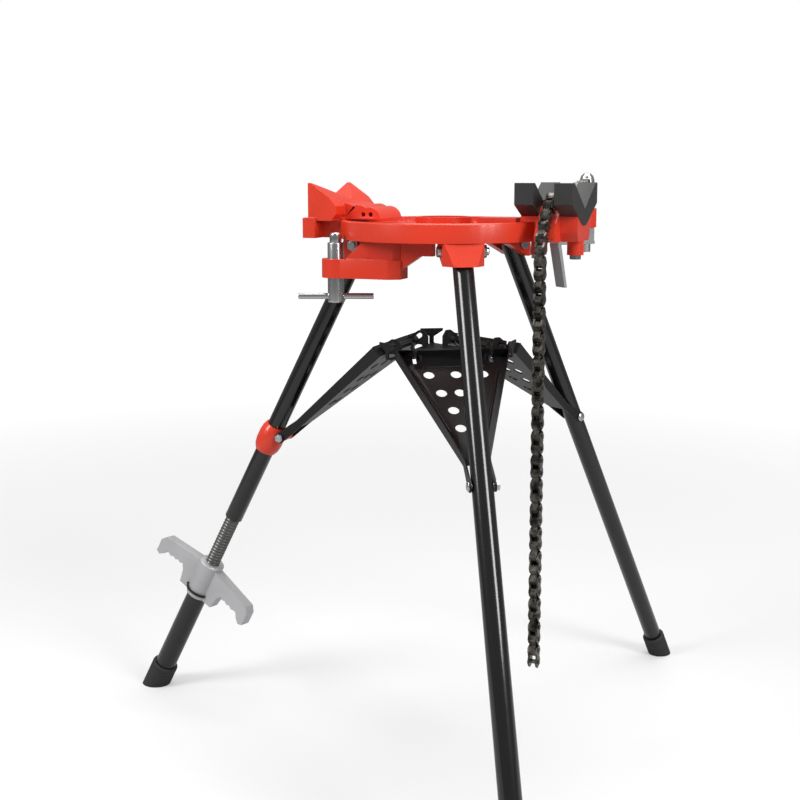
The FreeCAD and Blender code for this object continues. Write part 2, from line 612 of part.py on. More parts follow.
# ---------------------------------------------------------------- tray
def panel(side_name):
    """A folded sheet tray wing with holes, two ears for the leg and knuckles for the hub."""
    tag = "_" + side_name
    reach = "%.4f" % PANEL
    end = reach + " - panel_end"
    low = "-sheet_low"
    sheet_top = "-sheet_low + sheet"
    floor = prism("PanelSheet" + tag, "XY", [
        ("panel_start", "-panel_half"), (end, "-ear_inner - sheet"), (end, "ear_inner + sheet"),
        ("panel_start", "panel_half")], low, sheet_top)
    # the edge along the hub is folded up, and the side lips get lower towards the leg
    fold = block("PanelFold" + tag, ("panel_start", "-panel_half", low),
                 ("panel_start + sheet", "panel_half", low + " + panel_lip"))
    side_view = prism("PanelSide" + tag, "XZ", [
        ("panel_start", low), (end, low), (end, low + " + panel_low_lip"),
        ("panel_start", low + " + panel_lip")], "-panel_half - 1", "panel_half + 1")
    edges = []
    for i, side in enumerate(("", "-")):
        edges.append(prism("PanelLip%d%s" % (i, tag), "XY", [
            ("panel_start", side + "(panel_half - sheet)"), ("panel_start", side + "panel_half"),
            (end, side + "(ear_inner + sheet)"), (end, side + "ear_inner")],
            low, low + " + panel_lip"))
    parts = [floor, fold, common("PanelLips" + tag, group("PanelEdges" + tag, *edges), side_view)]
    for i, side in enumerate(("", "-")):
        ear = prism("PanelEar%d%s" % (i, tag), "XZ", [
            (end + " - 6", low), (reach + " - 6", "-ear_radius"), (reach, "-ear_radius"),
            (reach, "ear_radius"), (end + " - 6", low + " + panel_low_lip")],
            "ear_inner" if not side else "-ear_inner - sheet",
            "ear_inner + sheet" if not side else "-ear_inner")
        ear_end = rod("PanelEarEnd%d%s" % (i, tag), "ear_radius",
                      "ear_inner" if not side else "-ear_inner - sheet",
                      "ear_inner + sheet" if not side else "-ear_inner", "Y", x=reach)
        knuckle = prism("PanelKnuckle%d%s" % (i, tag), "XZ", [
            ("-hinge_pin - 2.5", "-4"), ("-1", low), ("panel_start + 12", low), ("panel_start + 8", sheet_top),
            ("hinge_pin + 2", "hinge_pin + 1.5"), ("-hinge_pin - 2", "hinge_pin + 1.5")],
            "50" if not side else "-54", "54" if not side else "-50")
        parts += [ear, ear_end, knuckle]
    tools = [rod("PanelEarBore" + tag, "ear_pin + bolt_gap", "-40", "40", "Y", x=reach),
             rod("PanelPinBore" + tag, "hinge_pin", "-60", "60", "Y")]
    holes = [(44, -43), (44, 0), (44, 43), (85, -29), (85, 0), (85, 29), (123, -16), (123, 16),
             (161, -11), (161, 11)]
    for i, (along, across) in enumerate(holes):
        tools.append(rod("PanelHole%d%s" % (i, tag), "panel_hole", low + " - 2", sheet_top + " + 2",
                         x="%d" % along, y="%d" % across))
    for i, side in enumerate((1, -1)):
        tools.append(block("PanelNotch%d%s" % (i, tag), ("panel_start - 2", "%g" % (side * 61.5 - 3), low + " - 1"),
                           ("panel_start + 14", "%g" % (side * 61.5 + 3), "panel_lip")))
    shape = cut("Panel" + tag, fused("PanelSum" + tag, *parts), *tools)
    end_at = REAR_END if side_name == "rear" else _front
    tilt = math.degrees(math.atan2(-end_at[1], end_at[0]))
    frame = Placement(Vector(), Rotation(Vector(0, 0, 1), LEGS[side_name])) * Placement(
        Vector(worth("tray_inner"), 0, worth("tray_height")), Rotation(Vector(0, 1, 0), tilt))
    made = [node("panel" + tag, shape, frame)]
    pin = rod("HingePin" + tag, "hinge_pin", "-hinge_half", "hinge_half", "Y")
    made.append(node("hinge_pin" + tag, group("HingePinPlaced" + tag, pin), frame))
    shank = rod("EarShank" + tag, "ear_pin", "-ear_inner - sheet - 3", "ear_inner + sheet + 5.6")
    head = turned("EarHead" + tag, [
        ("0", "-ear_inner - sheet - 3.6"), ("5", "-ear_inner - sheet - 3.6"),
        ("7.5", "-ear_inner - sheet - 1.8"), ("7.5", "-ear_inner - sheet - 0.3"), ("0", "-ear_inner - sheet - 0.3")])
    nut = hexagon("EarNut" + tag, "13", "ear_inner + sheet + 0.3", "ear_inner + sheet + 4.8")
    bolt = fused("EarBolt" + tag, shank, head, nut)
    bolt_at = Placement(Vector(PANEL, 0, 0), AXIS_TURN["Y"])
    made.append(node("ear_bolt" + tag, group("EarBoltPlaced" + tag, bolt), frame * bolt_at))
    return made


def tray_hub():
    """A three sided plate with slotted lugs for the hinge pins and an end tab between panels."""
    level = "tray_height - hub_drop"
    plate = prism("HubPlate", "XY", wheel_points("2 * hub_side", 3), level, level + " + sheet")
    parts = [plate]
    tools = []
    for azimuth in (0, 120, 240):
        arm = block("HubArm%d" % azimuth, ("hub_side", "-hub_arm", level),
                    ("tab_reach", "hub_arm", level + " + sheet"))
        tab = prism("HubTab%d" % azimuth, "YZ", [
            ("-hub_arm", level), ("hub_arm", level), ("hub_arm", "tray_height + 1"),
            ("tab_half", "tray_height + 11"), ("tab_half", "tray_height + tab_top"),
            ("-tab_half", "tray_height + tab_top"), ("-tab_half", "tray_height + 11"),
            ("-hub_arm", "tray_height + 1")], "tab_reach - sheet", "tab_reach")
        both = fused("HubEnd%d" % azimuth, arm, tab)
        both.Placement = Placement(Vector(), Rotation(Vector(0, 0, 1), azimuth))
        parts.append(both)
    for azimuth in (-60, 60, 180):
        frame = Placement(Vector(), Rotation(Vector(0, 0, 1), azimuth)) * Placement(
            Vector(worth("tray_inner"), 0, worth("tray_height")), Rotation())
        cheeks = []
        for i, side in enumerate((1, -1)):
            cheeks.append(prism("HubLug%d_%d" % (azimuth % 360, i), "XZ", [
                ("-hub_inset - 6", "-hub_drop"), ("-hub_inset + 4", "-hub_drop"), ("-slot_in", "-8.5"),
                ("3", "-8.5"), ("8", "-4"), ("8", "4"), ("3", "8.5"), ("-slot_in + 5", "16"),
                ("-slot_in - 5", "16"), ("-hub_inset - 6", "6")],
                "%g" % (side * 61.5 - 1.5), "%g" % (side * 61.5 + 1.5)))
        lugs = group("HubLugs%d" % (azimuth % 360), *cheeks)
        lugs.Placement = frame
        slot = prism("HubSlot%d" % (azimuth % 360), "XZ", [
            ("-slot_in - slot_half * 0.4", "-slot_half"), ("slot_half * 0.4", "-slot_half"),
            ("slot_half", "-slot_half * 0.4"), ("slot_half", "slot_half * 0.4"),
            ("slot_half * 0.4", "slot_half"), ("-slot_in - slot_half * 0.4", "slot_half"),
            ("-slot_in - slot_half", "slot_half * 0.4"), ("-slot_in - slot_half", "-slot_half * 0.4")],
            "-hinge_half - 4", "hinge_half + 4")
        slot.Placement = frame * Placement(Vector(), Rotation(Vector(0, 1, 0), worth("slot_tilt")))
        parts.append(lugs)
        tools.append(slot)
    return node("tray_hub", cut("Hub", fused("HubSum", *parts), *tools))


# ---------------------------------------------------------------- pipe rest
def pipe_rest():
    """The V rest behind the base with its buttress, slab, hollows and two bender lobes."""
    back = "rest_place"
    peak = "deck_height + rest_top"
    valley = "deck_height + rest_valley"
    low = "deck_height - rest_slab"
    ledge = "deck_height + 9"
    side = prism("RestSide", "XZ", [
        (back, "deck_height - 2"), (back, peak), (back + " + 5", peak),
        (back + " + rest_slope - 11", "deck_height + 35"), (back + " + rest_slope", "deck_height + 22"),
        (back + " + rest_slope", ledge), (back + " + rest_slope - 7", "deck_height + 1"),
        (back + " + rest_slope - 7", "deck_height - 2")], "-rest_half", "rest_half")
    front = prism("RestFront", "YZ", [
        ("-rest_half", low), ("rest_half", low), ("rest_half", ledge), ("rest_half", peak),
        ("rest_half - 5", peak), ("0", valley), ("-rest_half + 5", peak), ("-rest_half", peak)],
        back + " - 1", back + " + rest_slope + 1")
    # the two horns narrow towards the peaks
    horn = common("RestHorn", side, front)
    slab = block("RestSlab", (back + " - 8", "-rest_half - 4", low),
                 (back + " - 8 + rest_flange", "rest_half + 4", "deck_height + 3"))
    neck = block("RestNeck", (back + " + 5", "-54", low), ("-rim_radius + 12", "54", "deck_height + 3"))
    lobe_a = rod("LobeBack", "bender_radius", "-bender_half", "bender_half", "Y",
                 x="-rim_radius + 13", z="deck_height + 2")
    lobe_b = rod("LobeMiddle", "bender_front", "-bender_half", "bender_half", "Y",
                 x="-rim_radius + 35", z="deck_height + 3")
    lobe_c = rod("LobeFront", "bender_front", "-bender_half", "bender_half", "Y",
                 x="-rim_radius + 54", z="deck_height - 1")
    lobes = common("Lobes", fused("LobeSum", lobe_a, lobe_b, lobe_c), block(
        "LobeBox", ("-rim_radius - 30", "-bender_half", "deck_height - deck_drop"),
        ("-rim_radius + 88", "bender_half", "deck_height + 60")))
    rim = rod("RestRimRoom", "rim_radius", RIM_LOW + " - 20", "deck_height", x="0")
    cuts = [rim]
    for i, x in enumerate(("-rim_radius + 57", "-rim_radius + 44")):
        cuts.append(rod("LobeHole%d" % i, "3.6", "-bender_half - 2", "-bender_half + 22", "Y", x=x,
                        z="deck_height + 8"))
    return node("pipe_rest", cut("Rest", fused("RestSum", horn, slab, neck, lobes), *cuts))


# ---------------------------------------------------------------- ceiling brace
def brace():
    """Bracket with its threaded boss, screw, cap and T bar."""
    top = "deck_height - brace_top"
    low = "deck_height - brace_top - brace_depth"
    boss = rod("BraceBoss", "brace_boss", low, top, x="brace_x", y="brace_y")
    arm = prism("BraceArm", "XY", [
        ("brace_x", "brace_y - 17"), ("brace_x + 95", "brace_y - 17"), ("brace_x + 113", "brace_y - 6"),
        ("brace_x + 113", "brace_y + 25"), ("brace_x + 50", "brace_y + 25"), ("brace_x + 20", "brace_y + 17"),
        ("brace_x", "brace_y + 17")], low, top)
    post = prism("BracePost", "XY", [
        ("brace_x + 56", "brace_y - 7"), ("brace_x + 100", "brace_y - 7"), ("brace_x + 113", "brace_y + 2"),
        ("brace_x + 113", "brace_y + 25"), ("brace_x + 56", "brace_y + 25")], low, UNDER)
    web = prism("BraceWeb", "XZ", [
        ("brace_x + 18", top + " - 1"), ("brace_x + 57", top + " - 1"), ("brace_x + 57", RIM_LOW),
        ("brace_x + 50", RIM_LOW)], "brace_y - 5", "brace_y + 7")
    rib = prism("BraceRib", "XZ", [
        ("brace_x + 112", UNDER), ("brace_x + 112", low + " + 15"), ("brace_x + 145", RIM_LOW + " - 22"),
        ("brace_x + 165", RIM_LOW + " - 22"), ("brace_x + 165", UNDER)], "brace_y - 3", "brace_y + 9")
    bore = rod("BraceBore", "brace_radius + brace_gap", low + " - 1", top + " + 1", x="brace_x", y="brace_y")
    made = [node("brace_bracket", cut("Bracket", fused("BracketSum", boss, arm, post, web, rib), bore))]
    shaft_low = low + " - brace_tail"
    shaft_top = top + " + brace_stand"
    shaft = turned("BraceShaft", [
        ("0", shaft_low), ("brace_radius - 3", shaft_low), ("brace_radius", shaft_low + " + 3"),
        ("brace_radius", shaft_top), ("0", shaft_top)])
    pivot = rod("BracePeg", "brace_peg", shaft_top + " - 1", shaft_top + " + 10")
    bar_z = shaft_low + " + 10"
    bar_turn = Rotation(Vector(0, 0, 1), worth("brace_bar_turn"))
    bar_bore = rod("BraceBarRoom", "brace_bar + brace_gap", "-30", "30", "X", z=bar_z)
    bar_room = group("BraceBarTurned", bar_bore)
    bar_room.Placement = Placement(Vector(), bar_turn)
    at = Placement(Vector(worth("brace_x"), worth("brace_y"), 0), Rotation())
    made.append(node("brace_screw", cut("BraceScrew", fused("BraceShaftSum", shaft, pivot), bar_room), at))
    cap = turned("BraceCapShape", [
        ("brace_peg + brace_gap", shaft_top + " + 0.1"), ("brace_cap", shaft_top + " + 0.1"),
        ("brace_cap", shaft_top + " + 13"), ("brace_cap - 3", shaft_top + " + 16"), ("0", shaft_top + " + 16"),
        ("0", shaft_top + " + 10.1"), ("brace_peg + brace_gap", shaft_top + " + 10.1")])
    made.append(node("brace_cap", cap, at))
    bar = turned("BraceBarShape", [
        ("0", "-brace_bar_half"), ("brace_bar - 1", "-brace_bar_half"), ("brace_bar", "-brace_bar_half + 1"),
        ("brace_bar", "brace_bar_half - 1"), ("brace_bar - 1", "brace_bar_half"), ("0", "brace_bar_half")])
    made.append(node("brace_t_bar", bar, at * Placement(Vector(0, 0, worth(bar_z)), bar_turn * AXIS_TURN["X"])))
    return made


# ---------------------------------------------------------------- vise
def vise_head():
    """The casting under the jaws, the saddle of the chain and the guide of the chain screw."""
    seat = [("-head_half", RIM_LOW + " + 14"), ("-head_half + 6", RIM_LOW), ("head_half - 6", RIM_LOW),
            ("head_half", RIM_LOW + " + 14"), ("head_half", SEAT_EDGE),
            ("jaw_tip", JAW_LOW), ("-jaw_tip", JAW_LOW), ("-head_half", SEAT_EDGE)]
    back = prism("PierBack", "YZ", seat, "head_start", "jaw_rear + jaw_length")
    front = prism("PierFront", "YZ", seat, "jaw_front", "head_end")
    saddle = prism("Saddle", "YZ", [
        ("-75", "deck_height - 26"), ("-66", RIM_LOW), ("head_half - 6", RIM_LOW), ("head_half", RIM_LOW + " + 14"),
        ("78", "deck_height + 26"), ("75", "deck_height + 31"), ("10", "deck_height + 21"),
        ("-35", "deck_height + 25"), ("-62", "deck_height"), ("-75", "deck_height - 20")],
        "jaw_rear + jaw_length", "jaw_front")
    guide = rod("ScrewGuide", "post_boss", RIM_LOW + " + 14", "deck_height + 16", x="post_x", y="post_y")
    arm = prism("GuideArm", "YZ", [
        ("head_half - 10", RIM_LOW + " + 14"), ("post_y - 40", RIM_LOW + " + 20"), ("post_y", RIM_LOW + " + 20"),
        ("post_y", "deck_height + 14"), ("head_half + 30", "deck_height + 14"), ("head_half - 10", "deck_height")],
        "post_x - 9", "post_x + 9")
    boss = rod("JawBossFront", "13", "deck_height - jaw_boss_drop", RIM_LOW + " + 1", x=JAW_BOLTS[1])
    bores = [rod("JawBore%d" % i, "jaw_bolt", "deck_height - 60", JAW_LOW + " + 1", x=x)
             for i, x in enumerate(JAW_BOLTS)]
    bore = rod("GuideBore", "post_radius + post_gap", "deck_height - 90", "deck_height + 40", x="post_x", y="post_y")
    nut_room = rod("NutRoom", "post_boss + 1", "deck_height - 60", RIM_LOW + " + 14", x="post_x", y="post_y")
    rim = rod("HeadRimRoom", "rim_radius", RIM_LOW + " - 20", "deck_height")
    whole = fused("HeadSum", back, front, saddle, guide, arm, boss)
    return node("vise_head", cut("Head", whole, bore, rim, nut_room, *bores))


def jaw_block(name, start):
    """The outline of a jaw, from its back face over its length."""
    side = JAW_TOP + " - jaw_side"
    return prism(name, "YZ", [
        ("-jaw_tip", JAW_LOW), ("jaw_tip", JAW_LOW), ("jaw_half", side), ("jaw_half", JAW_TOP),
        ("jaw_half - jaw_horn", JAW_TOP), ("0", JAW_TOP + " - jaw_valley"), ("-jaw_half + jaw_horn", JAW_TOP),
        ("-jaw_half", JAW_TOP), ("-jaw_half", side)], start, start + " + jaw_length")


def jaw(label, start):
    body = jaw_block(label + "_block", start)
    bore = rod(label + "_bore", "jaw_bolt", JAW_LOW + " - 1", JAW_LOW + " + 16",
               x=start + " + jaw_length / 2")
    return node(label, cut(label + "_cut", body, bore))


def jaw_bolts():
    parts = []
    for i, x in enumerate(JAW_BOLTS):
        shank = rod("JawShank%d" % i, "jaw_bolt", "deck_height - jaw_boss_drop - 7", JAW_LOW + " + 16", x=x)
        head = hexagon("JawHead%d" % i, "16", "deck_height - jaw_boss_drop - 7", "deck_height - jaw_boss_drop")
        bind(head, ".Placement.Base.x", x)
        parts.append(fused("JawBolt%d" % i, shank, head))
    return node("jaw_bolts", group("JawBolts", *parts))


def chain_frame():
    """Upright frame on the chain screw whose Y axis points away from the hanging run."""
    across = worth("post_y - chain_out")
    skew = math.degrees(math.atan2(worth("post_x - chain_x"), across))
    return Placement(Vector(worth("post_x"), worth("post_y"), 0), Rotation(Vector(0, 0, 1), -skew))


def chain_screw():
    """The lifting screw with its domed fork, the fork's pin and the cranked handle nut."""
    fork_low = "deck_height + 41"
    hinge = "deck_height + 54.5"
    shaft = turned("PostShaft", [
        ("0", "deck_height - 58"), ("post_radius - 1", "deck_height - 58"), ("post_radius", "deck_height - 57"),
        ("post_radius", fork_low), ("12.5", fork_low + " + 2"), ("12.5", "deck_height + 63"),
        ("10.3", "deck_height + 70"), ("6.2", "deck_height + 74"), ("0", "deck_height + 75.5")])
    room = block("ForkRoom", ("-inner_half - 2 * plate - 2 * plate_gap - 0.5", "-20", hinge + " - 13"),
                 ("inner_half + 2 * plate + 2 * plate_gap + 0.5", "20", hinge + " + 11.5"))
    bore = rod("ForkBore", "chain_pin", "-20", "20", "X", z=hinge)
    at = chain_frame()
    made = [node("chain_screw", cut("Post", shaft, room, bore), at)]
    pin = rod("ForkPin", "chain_pin", "-13.2", "13.2", "X", z=hinge)
    made.append(node("chain_screw_pin", group("ForkPinPlaced", pin), at))
    nut_low = "deck_height - 44"
    nut = hexagon("CrankNut", "26", nut_low, RIM_LOW + " + 13.9")
    bar = prism("CrankBar", "XZ", [
        ("10", nut_low), ("10", nut_low + " + crank_bar"), ("-crank_arm - 1", nut_low + " + crank_bar"),
        ("-crank_arm - 3", nut_low + " + 1"), ("-crank_arm + 12", nut_low + " - crank_drop"),
        ("-crank_arm + 17.5", nut_low + " - crank_drop"), ("-crank_arm + 4", nut_low)],
        "-crank_width / 2", "crank_width / 2")
    hole = rod("CrankBore", "post_radius + post_gap", "deck_height - 100", "deck_height")
    swing = Placement(Vector(worth("post_x"), worth("post_y"), 0), Rotation(Vector(0, 0, 1), worth("crank_turn")))
    made.append(node("crank", cut("Crank", fused("CrankSum", nut, bar), hole), swing))
    return made


def chain_path():
    """Pin places in the chain's frame, over the saddle and straight down, one pitch apart."""
    deck = worth("deck_height")
    post = worth("post_y")
    out = worth("chain_out")
    way = [(post, 54.5), (130, 52), (100, 48), (75, 42.8), (45, 36.5), (10, 32.6), (-14, 34.3),
           (-36, 35.6), (-52, 28),
           (-68, 10), (-84, -12), (-93.5, -34), (out, -60), (out, worth("chain_end") - deck - 100)]
    fine = []
    for (y0, z0), (y1, z1) in zip(way, way[1:]):
        steps = max(2, int(math.hypot(y1 - y0, z1 - z0) / 0.05))
        fine += [(y0 + (y1 - y0) * k / steps - post, z0 + (z1 - z0) * k / steps + deck) for k in range(steps)]
    pitch = worth("pitch")
    pins = [fine[0]]
    for y, z in fine:
        reach = math.hypot(y - pins[-1][0], z - pins[-1][1])
        if reach >= pitch:
            pins.append((pins[-1][0] + (y - pins[-1][0]) * pitch / reach,
                         pins[-1][1] + (z - pins[-1][1]) * pitch / reach))
            if pins[-1][1] < worth("chain_end") and len(pins) % 2 == 1:
                break
    return pins


def bar_piece(corners, low, high):
    """A flat piece with its corners in Y and Z, between two levels of X."""
    wire = Part.makePolygon([Vector(low, y, z) for y, z in corners + corners[:1]])
    return Part.Face(wire).extrude(Vector(high - low, 0, 0))


def chain(pins):
    """Three runs of chain; in each, wide links of two plates, solid inner links and pin heads.

    Odd links are wide.  A run starts with its narrow end on the pin of the run before it.
    """
    half_pitch, tall, waist = (worth(name) / 2 for name in ("pitch", "plate_height", "plate_waist"))
    inner = worth("inner_half + plate")
    outer = inner + worth("plate_gap")
    face = outer + worth("plate")
    # a plate has a tooth at each pin and a waist, and ends just short of the next plate
    tip = half_pitch - 0.5
    plan = [(-half_pitch - tip, -2.2), (-half_pitch - 6, -6), (-half_pitch + 1, -tall), (0, -waist),
            (half_pitch - 1, -tall), (half_pitch + 6, -6)]
    plan += [(-y, -z) for y, z in plan]
    plan = [(-y, z) for y, z in plan]
    radius = worth("chain_pin")
    disc = [(radius * math.cos(math.radians(a)), radius * math.sin(math.radians(a))) for a in range(0, 360, 60)]
    lead = int(worth("lead_links"))
    straight = worth("chain_out - post_y")
    hang = min(i for i, pin in enumerate(pins) if abs(pin[0] - straight) < 0.02)
    hang += hang % 2
    last = len(pins) - 1
    snug = worth("chain_pin + bolt_gap")
    bores = {(0, 0): snug, (lead - 1, lead): worth("chain_pin + chain_free"), (hang, hang): snug}
    made = {}
    for run, start, stop in (("lead", 0, lead), ("drape", lead, hang), ("tail", hang, last)):
        plates, links, heads = [], [], []
        for i in range(start, stop):
            (y0, z0), (y1, z1) = pins[i], pins[i + 1]
            lie = Placement(Vector(0, (y0 + y1) / 2, (z0 + z1) / 2),
                            Rotation(Vector(1, 0, 0), math.degrees(math.atan2(z1 - z0, y1 - y0))))
            wide = i % 2 == 1
            for low, high in ((outer, face), (-face, -outer)) if wide else ((-inner, inner),):
                piece = bar_piece(plan, low, high)
                for end in (i, i + 1):
                    if (i, end) in bores:
                        side = half_pitch if end > i else -half_pitch
                        piece = piece.cut(Part.makeCylinder(bores[i, end], 40, Vector(-20, side, 0), Vector(1, 0, 0)))
                piece.Placement = lie
                (plates if wide else links).append(piece)
            for end in (i, i + 1) if wide else ():
                spans = [(face, worth("chain_pin_half")), (-worth("chain_pin_half"), -face)]
                if end in (lead, hang):
                    spans.append((-outer, outer))
                if end == last:
                    spans.append((-outer, outer))
                for low, high in spans:
                    head = bar_piece(disc, low, high)
                    if low < 0 < high:
                        head = Part.makeCylinder(radius, high - low, Vector(low, 0, 0), Vector(1, 0, 0))
                    head.Placement = Placement(Vector(0, *pins[end]), Rotation())
                    heads.append(head)
        for kind, pieces in (("plates", plates), ("links", links), ("pins", heads)):
            thing = DOC.addObject("Part::Feature", "Chain_%s_%s" % (run, kind))
            thing.Shape = Part.Compound(pieces)
            thing.Placement = chain_frame()
            made[run, kind] = node("chain_%s_%s" % (run, kind), thing)
    return made, lead, hang


# ---------------------------------------------------------------- all of it
base_tray()
pivot_bolts()
front_leg("right")
front_leg("left")
rear_leg()
for wing in LEGS:
    panel(wing)
tray_hub()
pipe_rest()
brace()
vise_head()
jaw("jaw_rear", "jaw_rear")
jaw("jaw_front", "jaw_front")
jaw_bolts()
chain_screw()
chain(chain_path())

DOC.recompute()
faults = []
for thing in DOC.Objects:
    if "Invalid" in thing.State or "Error" in thing.State:
        faults.append("%s: %s" % (thing.Label, thing.State))
for thing in NODES:
    if thing.Shape.isNull() or not thing.Shape.isValid() or not thing.Shape.Solids:
        faults.append("%s: no sound solid" % thing.Label)
if faults:
    raise RuntimeError("; ".join(faults))
os.makedirs("parts", exist_ok=True)
for thing in NODES:
    thing.Shape.exportStep("parts/%s.step" % thing.Label)
box = FreeCAD.BoundBox()
for thing in NODES:
    box.add(thing.Shape.BoundBox)
print("%d parts, %s" % (len(NODES), box))
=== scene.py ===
# %% [markdown]
# # A folding tripod stand with a chain vise
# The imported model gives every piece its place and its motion.  This file gives the pieces their
# looks: paint, rubber, cast metal and an oily chain.  Lengths are in metres, Z is up, and the
# stand rests on the floor at Z = 0.

import json
import math

import bmesh
import bpy
import numpy as np
from mathutils import Matrix, Vector

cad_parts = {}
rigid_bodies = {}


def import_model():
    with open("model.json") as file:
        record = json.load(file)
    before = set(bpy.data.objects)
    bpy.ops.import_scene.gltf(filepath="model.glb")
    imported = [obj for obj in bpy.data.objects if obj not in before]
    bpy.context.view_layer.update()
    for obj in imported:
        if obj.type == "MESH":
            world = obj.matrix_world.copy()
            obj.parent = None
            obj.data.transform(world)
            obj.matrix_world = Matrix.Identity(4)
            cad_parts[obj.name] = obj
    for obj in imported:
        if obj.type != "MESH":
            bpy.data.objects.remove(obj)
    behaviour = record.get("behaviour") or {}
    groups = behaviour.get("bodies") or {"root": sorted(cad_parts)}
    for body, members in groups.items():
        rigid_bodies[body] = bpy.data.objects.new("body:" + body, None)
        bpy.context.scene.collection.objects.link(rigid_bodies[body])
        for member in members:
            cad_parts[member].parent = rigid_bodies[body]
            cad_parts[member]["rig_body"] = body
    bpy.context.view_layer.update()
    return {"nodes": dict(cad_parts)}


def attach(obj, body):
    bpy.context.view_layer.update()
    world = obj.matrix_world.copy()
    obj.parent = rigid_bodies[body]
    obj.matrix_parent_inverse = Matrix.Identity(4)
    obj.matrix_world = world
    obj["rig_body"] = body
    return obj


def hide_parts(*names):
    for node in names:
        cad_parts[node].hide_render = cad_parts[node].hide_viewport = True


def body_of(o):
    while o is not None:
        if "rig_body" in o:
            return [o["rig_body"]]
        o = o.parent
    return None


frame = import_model()

# %% [markdown]
# ## Measures that several pieces share
# The round base stands a little in front of the middle of the footprint, because the rear leg
# reaches further than the front pair.  Each leg has a frame of its own: its origin is the pivot,
# its Z axis runs up the leg and its X axis points outwards.  All pieces on a leg are then drawn
# upright, as a turner would see them, and the frame leans them into place.

# %% Shared measures
HUB = 0.14697
DECK = 0.886
PIVOT = (0.14725, 0.8434)
SPLAY = math.radians(27.0)
LEG_LONG = PIVOT[1] / math.cos(SPLAY)
AZIMUTH = {"right": -60.0, "left": 60.0, "rear": 180.0}


def about_hub(degrees=0.0):
    """Frame on the axis of the round base, turned about Z."""
    return Matrix.Translation((HUB, 0, 0)) @ Matrix.Rotation(math.radians(degrees), 4, "Z")


def leg_frame(side):
    """Frame at a leg's pivot, leaning outwards by the splay."""
    lean = Matrix.Translation((PIVOT[0], 0, PIVOT[1])) @ Matrix.Rotation(-SPLAY, 4, "Y")
    return about_hub(AZIMUTH[side]) @ lean


print("a leg is %.3f m from pivot to floor" % LEG_LONG)

# %% [markdown]
# ## Surfaces from arrays
# Round pieces are a profile of radius and height carried about an axis.  Working out all the
# points as one array is quick, and the same grid of faces serves every such piece.

# %% Surface helpers
def place_points(points, matrix):
    """Points times a 4 by 4 matrix: p' = R p + t, for a whole array at once."""
    m = np.array(matrix)
    return points @ m[:3, :3].T + m[:3, 3]


def grid_faces(rows, columns, close_rows, close_columns):
    """Quads between neighbouring rows and columns of a grid, joined round where it closes."""
    r = np.arange(rows if close_rows else rows - 1)
    c = np.arange(columns if close_columns else columns - 1)
    i, j = np.meshgrid(r, c, indexing="ij")
    i, j = i.ravel(), j.ravel()
    i2, j2 = (i + 1) % rows, (j + 1) % columns
    return np.stack([i * columns + j, i * columns + j2, i2 * columns + j2, i2 * columns + j], 1)


print("helpers for points and grids")

# %% From arrays to objects
def add_mesh(name, points, faces, material, sharp=35.0):
    """A finished object from arrays, shaded smooth except across edges sharper than the angle."""
    mesh = bpy.data.meshes.new(name)
    mesh.from_pydata(np.asarray(points).tolist(), [], [list(map(int, f)) for f in faces])
    work = bmesh.new()
    work.from_mesh(mesh)
    bmesh.ops.remove_doubles(work, verts=work.verts, dist=1e-6)
    bmesh.ops.recalc_face_normals(work, faces=work.faces)
    work.to_mesh(mesh)
    work.free()
    mesh.shade_smooth()
    mesh.set_sharp_from_angle(angle=math.radians(sharp))
    piece = bpy.data.objects.new(name, mesh)
    bpy.context.scene.collection.objects.link(piece)
    mesh.materials.append(material)
    return piece


print("a helper that makes an object")

# %% A profile about an axis
def revolve(profile, matrix, segments=48):
    """Surface p(a, k) = (r_k cos a, r_k sin a, z_k): a profile of radius and height about Z."""
    profile = np.asarray(profile, float)
    a = np.linspace(0, 2 * np.pi, segments, endpoint=False)
    r, z = profile[:, 0], profile[:, 1]
    grid = np.stack([np.outer(np.cos(a), r), np.outer(np.sin(a), r), np.tile(z, (segments, 1))], 2)
    faces = grid_faces(segments, len(profile), True, False)
    return place_points(grid.reshape(-1, 3), matrix), faces


def join_arrays(parts):
    """Several pairs of points and faces as one pair."""
    points, faces, start = [], [], 0
    for p, f in parts:
        points.append(p)
        faces += [tuple(int(v) + start for v in face) for face in f]
        start += len(p)
    return np.concatenate(points), faces


print("helpers for turned pieces")

# %% [markdown]
# ## Finishes
# Paint is a coloured coat with a slight orange peel, so its bump is very fine and its gloss is
# high.  Bare and plated metal differ in roughness more than in colour.  All patterns read Object
# coordinates, so they stay on the piece when it moves.

# %% Noise
def noise_in(tree, scale, detail):
    """The value socket of a noise in Object coordinates."""
    noise = tree.nodes.new("ShaderNodeTexNoise")
    noise.inputs["Scale"].default_value = scale
    noise.inputs["Detail"].default_value = detail
    where = tree.nodes.new("ShaderNodeTexCoord").outputs["Object"]
    tree.links.new(where, noise.inputs["Vector"])
    return noise.outputs["Fac"]


print("a helper for noise")

# %% A finish
ROUGH_SPREAD = 0.08
GRAIN_HEIGHT = 0.0006


